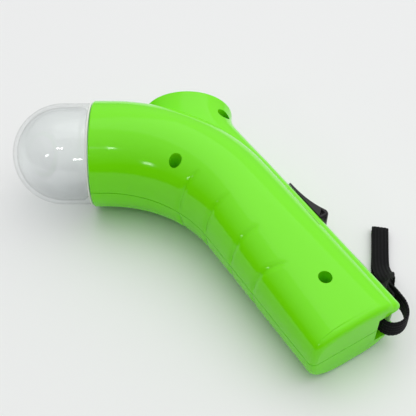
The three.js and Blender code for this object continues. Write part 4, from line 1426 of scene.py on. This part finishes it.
@dataclass
class Mechanism(Fitted):
    """Launch tube, striker with its pad, spring, end cap, carriage, muzzle plate and screws."""

    tube_wall: float = 1.2
    tube_mouth: float = 21.0
    tube_edge: float = 0.3
    port_radius: float = 6.6
    striker_radius: float = 6.9
    striker_wall: float = 1.1
    striker_front: float = -7.0
    striker_rear: float = 52.0
    striker_head: float = 3.0
    striker_edge: float = 0.4
    pad_radius: float = 6.5
    pad_thickness: float = 2.2
    pad_edge: float = 0.55
    stem_radius: float = 1.6
    stem_length: float = 1.8
    arm_front: float = 43.0
    arm_length: float = 6.0
    arm_half_width: float = 2.6
    pin_radius: float = 1.5
    pin_foot: float = 2.0
    spring_radius: float = 4.5
    wire_radius: float = 0.65
    spring_turns: int = 14
    turn_steps: int = 40
    wire_sides: int = 12
    cap_plug: float = 4.0
    cap_flange: float = 1.6
    cap_edge: float = 0.5
    guide_radius: float = 3.2
    guide_reach: float = 50.0
    carriage_thickness: float = 2.3
    carriage_half_width: float = 5.0
    carriage_front: float = 30.0
    carriage_corner: float = 1.0
    carriage_edge: float = 0.3
    engagement: float = 1.7
    plate_thickness: float = 2.0
    plate_inset: float = 2.4
    plate_gap: float = 0.4
    plate_edge: float = 0.35
    plate_points: int = 120
    head_radius: float = 2.2
    head_height: float = 1.7
    head_rim: float = 0.45
    head_steps: int = 12
    shank_radius: float = 1.2
    thread_pitch: float = 0.5
    thread_root: float = 0.82
    thread_end: float = 1.6
    tip_length: float = 1.2
    tip_root: float = 0.8
    slot_width: float = 0.7
    slot_depth: float = 0.9
    slot_reach: float = 0.62
    screw_sides: int = 40
    coarse_sides: int = 32
    fine_sides: int = 96
    middle_sides: int = 72
    beyond: Pair = (90.0, 30.0)
    past: float = 4.0
    far: float = 60.0

    def __post_init__(self) -> None:
        """Keep the tube's frame, on which most of the mechanism is turned."""
        self.axes = self.tube_axes()

    def _pin_axes(self) -> Axes:
        """Frame of the carriage's pin, pointing at the handle's back."""
        x, y = on_handle(self.arm_front + self.arm_length / 2, 0.0)
        return Axes((float(x), float(y), 0.0), H, N, (0, 0, -1))

    def launch_tube(self) -> None:
        """Tube cut square at the muzzle, with the treats' port and the arm's slot."""
        gap, outside, end = self.clearance, self.tube_radius, self.tube_end
        start = -self.form.handle_reach / 2
        bore, middle = outside - self.tube_wall, (outside - self.tube_wall / 2, start)
        corners = [middle, (outside, start), (outside, end), (bore, end), (bore, start), middle]
        low = (self.arm_front - gap, self.tube_side, -self.arm_half_width - gap)
        arm_end = self.arm_front + self.arm_length + self.travel + gap
        wide, tall = self.beyond
        cuts = [
            block((-wide, self.tube_mouth, -tall), (wide, wide, tall), WORLD_AXES),
            rod(self.port_radius, -self.form.barrel_radius, outside, BARREL_AXES),
            block(low, (arm_end, self.past_back, self.arm_half_width + gap)),
        ]
        tube = turned(rounded_profile(corners, self.tube_edge), self.axes, self.fine_sides)
        dressed("tube", carved(tube, cuts), Part.BODY, Slot.WHITE, "launch_tube")

    def striker(self) -> None:
        """Sleeve with a closed front, its arm and pin, and the rubber pad on its face."""
        r, bore = self.striker_radius, self.striker_radius - self.striker_wall
        front, rear, head = self.striker_front, self.striker_rear, self.striker_front + self.striker_head
        corners = [(0, front), (r, front), (r, rear), (bore, rear), (bore, head), (0, head)]
        line = rounded_profile(corners, self.striker_edge)
        stem_end, radius = front + self.stem_length, self.stem_radius + self.clearance
        socket = rod(radius, front - self.past, stem_end, self.axes, self.coarse_sides)
        arm = block(
            (self.arm_front, self.tube_side + bore + self.striker_wall / 2, -self.arm_half_width),
            (self.arm_front + self.arm_length, self.carriage_side - self.clearance, self.arm_half_width),
        )
        foot, top = self.carriage_side - self.pin_foot, self.carriage_side + self.carriage_thickness / 2
        pin = rod(self.pin_radius, foot, top, self._pin_axes(), self.coarse_sides)
        sleeve = carved(turned(line, self.axes, self.fine_sides), [socket], [arm, pin])
        dressed("sleeve", sleeve, Part.SLIDE, Slot.WHITE, "striker")
        back, stem_end = front - self.clearance, stem_end - self.clearance
        face, r, stem = back - self.pad_thickness, self.pad_radius, self.stem_radius
        corners = [(0, face), (r, face), (r, back), (stem, back), (stem, stem_end), (0, stem_end)]
        pad = turned(rounded_profile(corners, self.pad_edge), self.axes, self.middle_sides)
        dressed("pad", pad, Part.SLIDE, Slot.RUBBER, "striker_pad")

    def cap(self) -> None:
        """End cap with its plug and the pin that guides the spring."""
        front, flange = self.tube_end - self.cap_plug, self.tube_end + self.clearance
        plug = self.tube_radius - self.tube_wall - self.clearance
        tip, back = front - self.guide_reach, flange + self.cap_flange
        line = rounded_profile(
            [
                (0, tip),
                (self.guide_radius, tip),
                (self.guide_radius, front),
                (plug, front),
                (plug, flange),
                (self.tube_radius, flange),
                (self.tube_radius, back),
                (0, back),
            ],
            self.cap_edge,
        )
        cap = turned(line, self.axes, self.middle_sides)
        dressed("cap", cap, Part.BODY, Slot.BLACK, "spring_cap")

    def carriage(self) -> None:
        """Bar under the handle's back, with the slide's socket and the pin's hole."""
        gap, thick = self.clearance, self.carriage_thickness
        rear = self.form.notch_front - self.form.notch_wall - self.travel - 2 * gap
        low, high = self.carriage_side, self.carriage_side + thick
        ends = (self.carriage_front, -self.carriage_half_width), (rear, self.carriage_half_width)
        outline = rounded_outline(*ends, self.carriage_corner, 6)
        axes = Axes(tuple([*on_handle(0.0, (low + high) / 2), 0.0]), H, UP, (-N[0], -N[1], 0))
        bar = pillow(outline, thick / 2, self.carriage_edge, axes)
        floor, wide = high - self.engagement - gap, self.slide_stem_half_width
        start, end = self.slide_stem_front - gap, self.slide_stem_front + self.slide_stem_length + gap
        socket = block((start, floor, -wide - gap), (end, self.past_back, wide + gap))
        top = self.carriage_side + thick / 2 + gap
        hole = rod(self.pin_radius + gap, self.tube_side, top, self._pin_axes(), self.coarse_sides)
        dressed("carriage", carved(bar, [socket, hole]), Part.SLIDE, Slot.BLACK, "slide_carriage")

    def spring(self) -> None:
        """Round wire wound in a helix.

        Formula: along the helix the angle and the station grow together, and each ring of the wire's
        section is turned with the angle.
        """
        front = self.striker_front + self.striker_head + self.clearance + self.wire_radius
        rear = self.tube_end - self.cap_plug - self.clearance - self.wire_radius
        turns = self.spring_turns
        angle = np.linspace(0, 2 * np.pi * turns, turns * self.turn_steps + 1)[:, None]
        turn = np.linspace(0, 2 * np.pi, self.wire_sides, endpoint=False)[None]
        station = front + (rear - front) * angle / angle[-1]
        radius = self.spring_radius + self.wire_radius * np.cos(turn)
        rise = station + self.wire_radius * np.sin(turn) + 0 * radius
        local = np.stack([radius * np.cos(angle), rise, radius * np.sin(angle)], -1)
        faces = tube_faces(len(local), self.wire_sides)
        mesh = new_mesh(self.axes.place(local.reshape(-1, 3)), faces)
        piece = dressed("spring", mesh, Part.BODY, Slot.STEEL, "main_spring")
        ends = in_frame(self.axes.place(np.array([[0.0, front, 0.0], [0.0, rear, 0.0]])))
        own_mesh(piece)

    def plate(self) -> None:
        """Oval plate set back in the muzzle, with the tube's hole; its outline is an ellipse."""
        f = self.form
        gap = f.wall + self.plate_gap
        angle = np.linspace(0, 2 * np.pi, self.plate_points, endpoint=False)
        wide, tall = f.muzzle_half_width - gap, f.muzzle_half_height - gap
        outline = np.stack([wide * np.cos(angle), tall * np.sin(angle)], 1)
        middle = f.muzzle_reach - self.plate_inset - self.plate_thickness / 2
        axes = Axes((f.muzzle_centre, middle, 0.0), (1, 0, 0), UP, (0, -1, 0))
        oval = pillow(outline, self.plate_thickness / 2, self.plate_edge, axes)
        radius = self.tube_radius + self.clearance
        hole = rod(radius, -self.far, self.far, self.axes, self.fine_sides)
        dressed("plate", carved(oval, [hole]), Part.BODY, Slot.LIME, "muzzle_plate")

    def screws(self) -> None:
        """Self-tapping screws with crowned cross-slotted heads and a rolled thread.

        Formula: the head's profile is a quarter ellipse over a straight rim, and the thread a zigzag
        between the shank's radius and its root.
        """
        shank, half_pitch, rim = self.shank_radius, self.thread_pitch / 2, self.head_rim
        for name, x, y, seat, grip in self.form.screw_places:
            axes = upright(x, y)
            low = seat + self.clearance
            top = low + self.head_height
            crown = []
            for a in np.linspace(0, np.pi / 2, self.head_steps)[1:]:
                station = low + self.head_height * (rim + (1 - rim) * math.cos(a))
                crown.append((float(self.head_radius * math.sin(a)), float(station)))
            thread = []
            for k in range(int((low + grip - self.thread_end) / self.thread_pitch)):
                station = low - half_pitch - self.thread_pitch * k
                thread += [(shank, station), (shank * self.thread_root, station - half_pitch)]
            tip = [(shank * self.tip_root, -grip + self.tip_length), (0.0, -grip)]
            line = [(0.0, top), *crown, (self.head_radius, low), *thread, *tip]
            w, r, deep = self.slot_width / 2, self.head_radius * self.slot_reach, top - self.slot_depth
            slots = [block((-a, deep, -b), (a, top + self.past, b), axes) for a, b in ((r, w), (w, r))]
            mesh = carved(turned(line, axes, self.screw_sides), slots)
            # Their dark finish doubles as painted shade at the bottom of the screw holes.
            dressed(f"{name}_fine", mesh, Part.BODY, Slot.OXIDE, name)

    def build(self) -> None:
        """Make every piece of the mechanism."""
        self.launch_tube()
        self.striker()
        self.cap()
        self.carriage()
        self.spring()
        self.plate()
        self.screws()


@dataclass
class ThumbSlide(Fitted):
    """Black thumb piece on the handle's back: low at the muzzle side, rising to a rounded heel."""

    front: float = 40.0
    length: float = 21.4
    rise: float = 4.0
    half_width: float = 6.0
    edge: float = 1.1
    edge_steps: int = 7
    toe: float = 0.7
    depth: float = 2.0
    stem_low: float = 18.2
    outline_points: int = 30
    saddle_overrun: float = 4.0
    saddle_rings: int = 24
    saddle_sides: int = 120

    def outline(self) -> Array:
        """Side outline: the concave top is a cubic curve, the heel a quadratic one.

        Returns:
            (N, 2) points in reach and side, anticlockwise.
        """
        side = self.form.spine_side

        def at(along: float, rise: float) -> Array:
            """Place at shares of the length and the rise."""
            return np.array([self.front + along * self.length, side + rise * self.rise])

        t = np.linspace(0, 1, self.outline_points)[:, None]
        a, b, c, d = np.array([self.front, side + self.toe]), at(0.48, 0.12), at(0.72, 0.62), at(0.88, 1)
        top = (1 - t) ** 3 * a + 3 * t * (1 - t) ** 2 * b + 3 * t**2 * (1 - t) * c + t**3 * d
        t = t[1::2]
        heel = (1 - t) ** 2 * d + 2 * t * (1 - t) * at(1, 1) + t**2 * at(1, 0.4)
        base = side - self.depth
        foot = np.array([[self.front + self.length, base], [self.front, base]])
        return np.concatenate([top, heel, foot])[::-1]

    def saddle(self) -> Mesh:
        """The spine's form, a clearance larger, that the thumb piece is hollowed with.

        Formula: at each reach, an oval whose half width and half thickness are the spine's.

        Returns:
            The closed mesh.
        """
        f = self.form
        span = self.front - self.saddle_overrun, self.front + self.length + self.saddle_overrun
        reach = np.linspace(*span, self.saddle_rings)[:, None]
        angle = np.linspace(0, 2 * np.pi, self.saddle_sides, endpoint=False)[None]
        half, wide, bend = f.spine_half_at(reach) + self.clearance, f.spine_width / 2, 2 / f.spine_power
        side = f.spine_side - wide + (wide + self.clearance) * signed_power(np.cos(angle), bend)
        height = half * signed_power(np.sin(angle), bend)
        local = np.stack([reach + 0 * side, side + 0 * reach, height], -1).reshape(-1, 3)
        return new_mesh(HANDLE_AXES.place(local), tube_faces(self.saddle_rings, self.saddle_sides))

    def build(self) -> None:
        """Make it as a rounded flat form, hollowed below to sit over the spine, with its stem."""
        body = pillow(self.outline(), self.half_width, self.edge, HANDLE_AXES, self.edge_steps)
        front, wide = self.slide_stem_front, self.slide_stem_half_width
        top = self.form.spine_side + self.toe / 2
        stem = block((front, self.stem_low, -wide), (front + self.slide_stem_length, top, wide))
        mesh = carved(body, [self.saddle()], [stem])
        dressed("thumb_piece", mesh, Part.SLIDE, Slot.BLACK, "thumb_slide")


# --------------------------------------------------------------------------- wrist strap


@dataclass
class WristStrap:
    """Loop of ribbed nylon webbing round the strap post, lying folded on the table.

    A point of the eye is in the handle's frame, in millimetres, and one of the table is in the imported
    frame; the fourth number is the point's share of lying flat.
    """

    width: float = 6.8
    thickness: float = 1.2
    ribs: int = 5
    rings: int = 520
    around: int = 72
    link_steps: int = 60
    side_power: float = 0.7
    face_power: float = 0.35
    rib_rise: float = 0.26
    edge_wander: float = 0.03
    wander_mm: float = 1.3
    edge_margin: float = 0.1
    run: Triple = (0.98, -0.19, 0.0)
    eye: tuple[Quad, ...] = (
        (96, 28.6, -2.5, 0),
        (101, 28.3, -2, 0),
        (106.5, 27.2, -1.5, 0),
        (110.6, 24.2, -1, 0),
        (111.8, 20, -0.8, 0),
        (110.3, 16.4, -0.6, 0),
        (106.8, 15.1, -0.5, 0),
        (103.4, 16.2, -0.5, 0),
        (102.2, 19.2, -0.8, 0),
        (102.2, 22.8, -1.2, 0),
        (101.2, 25.8, -1.8, 0),
        (97.4, 26.9, -2.6, 0),
    )
    table: tuple[Quad, ...] = (
        (73.6, -24.5, 9.5, 0.2),
        (74, -19, 5.6, 0.55),
        (74, -13.5, 2.4, 0.9),
        (74.6, -8, 1, 1),
        (75.6, -2, 0.9, 1),
        (76.8, 6, 0.9, 1),
        (77.9, 13.2, 0.9, 1),
        (78.1, 14.1, 1.7, 1),
        (77.9, 13.2, 2.5, 1),
        (76.8, 6, 2.5, 1),
        (75.6, -2, 2.5, 1),
        (74.9, -8, 2.8, 1),
        (74.8, -13.5, 4.6, 0.8),
        (75.2, -19, 7.6, 0.4),
        (75.2, -24.5, 11, 0.1),
    )
    stitched: Quad = (96.4, 30.3, -2.4, 0)

    def _route(self) -> tuple[Array, Array]:
        """Put the eye, the table's points and the stitched end in one row.

        Returns:
            The route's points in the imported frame, in metres, and their shares of lying flat.
        """
        eye, table, end = (np.array(part, float) for part in (self.eye, self.table, [self.stitched]))
        on_body = in_frame(HANDLE_AXES.place(np.concatenate([eye, end])[:, :3]))
        points = np.concatenate([on_body[:-1], table[:, :3] * MM, on_body[-1:]])
        return points, np.concatenate([eye[:, 3], table[:, 3], end[:, 3]])

    def line(self) -> tuple[Array, Array, Array]:
        """Centre line: a centripetal spline through the route.

        Formula: the knots stand the root of the chords apart, and each stretch blends its four points in
        three rounds of straight blends between knots.

        Returns:
            (rings, 3) places, (rings, 3) unit tangents and the shares of lying flat.
        """
        points, flat = self._route()
        padded = np.concatenate([2 * points[:1] - points[1:2], points, 2 * points[-1:] - points[-2:-1]])
        knot = np.concatenate([[0], np.cumsum(np.linalg.norm(np.diff(padded, axis=0), axis=1) ** 0.5)])
        count = len(points) - 1
        fine = np.linspace(0, count, count * self.link_steps + 1)
        step = np.minimum(fine.astype(int), count - 1)
        share = fine - step
        t0, t1, t2, t3 = (knot[step + k][:, None] for k in range(4))
        p0, p1, p2, p3 = (padded[step + k] for k in range(4))
        t = t1 + (t2 - t1) * share[:, None]

        def between(low: Array, high: Array, start: Array, end: Array) -> Array:
            """Straight blend of two points by the place of t between two knots."""
            return (high - t) / (high - low) * start + (t - low) / (high - low) * end

        a1, a2, a3 = between(t0, t1, p0, p1), between(t1, t2, p1, p2), between(t2, t3, p2, p3)
        curve = between(t1, t2, between(t0, t2, a1, a2), between(t1, t3, a2, a3))
        level = flat[step] * (1 - share) + flat[step + 1] * share
        along = np.concatenate([[0], np.cumsum(np.linalg.norm(np.diff(curve, axis=0), axis=1))])
        at = np.linspace(0, along[-1], self.rings)
        place = np.stack([np.interp(at, along, curve[:, k]) for k in range(3)], 1)
        return place, unit(np.gradient(place, axis=0)), np.interp(at, along, level)

    def build(self) -> None:
        """Make the webbing: a flat section, ribbed lengthwise, whose width turns from upright to flat.

        Formula: round the section, the width follows a cosine squared off by a power, and the thickness a
        sine with the ribs' humps; the edges wander by a tenth of a millimetre with each pick.
        """
        place, tangent, flat = self.line()
        across = np.array(UP) * (1 - flat[:, None]) + np.array(self.run) * flat[:, None]
        across = unit(across - tangent * (across * tangent).sum(1, keepdims=True))
        through = np.cross(tangent, across)
        long = float(np.linalg.norm(np.diff(place, axis=0), axis=1).sum())
        along = np.linspace(0, long, self.rings)[:, None]
        angle = np.linspace(0, 2 * np.pi, self.around, endpoint=False)[None]
        u, v = signed_power(np.cos(angle), self.side_power), signed_power(np.sin(angle), self.face_power)
        humps = np.abs(np.sin(u * np.pi * self.ribs / 2)) ** 0.7
        hump = 1 - self.rib_rise + self.rib_rise * humps
        edge = 1 + self.edge_wander * np.sin(2 * np.pi * along / (self.wander_mm * MM)) * np.abs(u) ** 6
        wide = u * (self.width / 2 - self.edge_margin) * MM * edge
        thick = v * self.thickness / 2 * MM * hump + 0 * along
        points = place[:, None] + across[:, None] * wide[..., None] + through[:, None] * thick[..., None]
        mesh = bpy.data.meshes.new("webbing")
        mesh.from_pydata(points.reshape(-1, 3), [], tube_faces(self.rings, self.around))
        build = bmesh.new()
        build.from_mesh(mesh)
        if build.calc_volume(signed=True) < 0:
            bmesh.ops.reverse_faces(build, faces=build.faces)
        build.to_mesh(mesh)
        build.free()
        uv = mesh.uv_layers.new(name="webbing")
        index = np.empty(len(mesh.loops), np.int32)
        mesh.loops.foreach_get("vertex_index", index)
        table = np.stack([np.broadcast_to(along, wide.shape), wide], -1).reshape(-1, 2)
        uv.data.foreach_set("uv", table[index].ravel().astype(np.float32))
        strap = dressed("strap", mesh, Part.BODY, Slot.WEBBING, "wrist_strap")


# --------------------------------------------------------------------------- studio


@dataclass
class Studio:
    """Pale floor, soft light and the camera of the photograph.

    The world's level is the dot product of its direction with sky, so it is bright overhead and dark at
    the horizon, and never under low_sky. A lamp is its name, its place, its size and its level.
    """

    eye: Triple = (0.0072, -0.22505, 0.23825)
    aim: Triple = (0.0072, 0.00806, 0.01903)
    lens_mm: float = 70.6
    sensor_mm: float = 36.0
    clip: Pair = (0.01, 120.0)
    floor_half: float = 40.0
    floor_colour: str = "eeefef"
    sky: Triple = (0.32, 0.26, 1.22)
    low_sky: float = 0.03
    lamps: tuple[tuple[str, Triple, Pair, float], ...] = (
        ("back_softbox", (0.25, 0.35, 0.95), (1.0, 1.0), 0.2),
        ("front_strip", (-0.276, -0.75, 1.05), (0.05, 0.05), 0.016),
        ("side_strip", (-0.6, -0.72, 0.56), (0.1, 0.1), 0.03),
    )

    def _aimed(self, name: str, data: bpy.types.ID, place: Triple) -> bpy.types.Object:
        """Put a camera or lamp at a place and turn it to the launcher.

        Args:
            name: the object's name.
            data: the camera or lamp.
            place: where it stands, in metres.

        Returns:
            The object.
        """
        thing = bpy.data.objects.new(name, data)
        thing.location = place
        thing.rotation_euler = (Vector(self.aim) - Vector(place)).to_track_quat("-Z", "Y").to_euler()
        bpy.context.scene.collection.objects.link(thing)
        return thing

    def camera(self) -> None:
        """Set the camera; the image is taken to be 416 by 416."""
        lens = bpy.data.cameras.new("camera")
        lens.lens, lens.sensor_width = self.lens_mm, self.sensor_mm
        lens.clip_start, lens.clip_end = self.clip
        bpy.context.scene.camera = self._aimed("camera", lens, self.eye)

    def _lights(self) -> None:
        """Rectangular soft lamps that face the launcher.

        Formula: a lamp's level is the light that it lays there, with white as 1, and its power that level
        times pi squared times the square of its distance.
        """
        for name, place, size, level in self.lamps:
            light = bpy.data.lights.new(name, "AREA")
            light.shape, light.size, light.size_y = "RECTANGLE", *size
            light.energy = level * math.pi * math.pi * math.dist(place, self.aim) ** 2
            self._aimed(name, light, place)

    def _floor(self) -> None:
        """A matt white card under the launcher, wide enough to reach past every view."""
        half = self.floor_half
        mesh = bpy.data.meshes.new("floor")
        corners = [(-half, -half, 0), (half, -half, 0), (half, half, 0), (-half, half, 0)]
        mesh.from_pydata(corners, [], [(0, 1, 2, 3)])
        material, tree = blank("white_card_matt")
        matt = {"Base Color": linear(self.floor_colour), "Roughness": 0.9, "Specular IOR Level": 0.1}
        shader = node(tree, "ShaderNodeBsdfPrincipled", None, matt)
        node(tree, "ShaderNodeOutputMaterial", links={"Surface": shader.outputs[0]})
        mesh.materials.append(material)
        floor = bpy.data.objects.new("floor", mesh)
        bpy.context.scene.collection.objects.link(floor)

    def _world(self) -> None:
        """A white world whose level follows its direction."""
        world = bpy.data.worlds.new("studio")
        world.use_nodes = True
        tree = world.node_tree
        where = {0: node(tree, "ShaderNodeTexCoord").outputs["Generated"]}
        toward = node(tree, "ShaderNodeVectorMath", {"operation": "DOT_PRODUCT"}, {1: self.sky}, where)
        links = {0: toward.outputs["Value"]}
        level = node(tree, "ShaderNodeMath", {"operation": "MAXIMUM"}, {1: self.low_sky}, links)
        back = tree.nodes["Background"]
        back.inputs["Color"].default_value = (1.0, 1.0, 1.0, 1.0)
        tree.links.new(level.outputs[0], back.inputs["Strength"])
        bpy.context.scene.world = world

    def build(self) -> None:
        """Make the floor, the lamps and the world, and keep colours as they are written."""
        self._floor()
        self._lights()
        self._world()
        bpy.context.scene.view_settings.view_transform = "Standard"


def main() -> None:
    """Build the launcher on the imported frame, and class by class."""
    logging.basicConfig(level=logging.INFO, format="%(name)s: %(message)s")
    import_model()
    studio = Studio()
    studio.camera()
    WristStrap().build()
    form = Housing()
    for assembly in (Shells(form), Hopper(form), ThumbSlide(form), Mechanism(form)):
        assembly.build()
    studio.build()


if __name__ == "__main__":
    main()
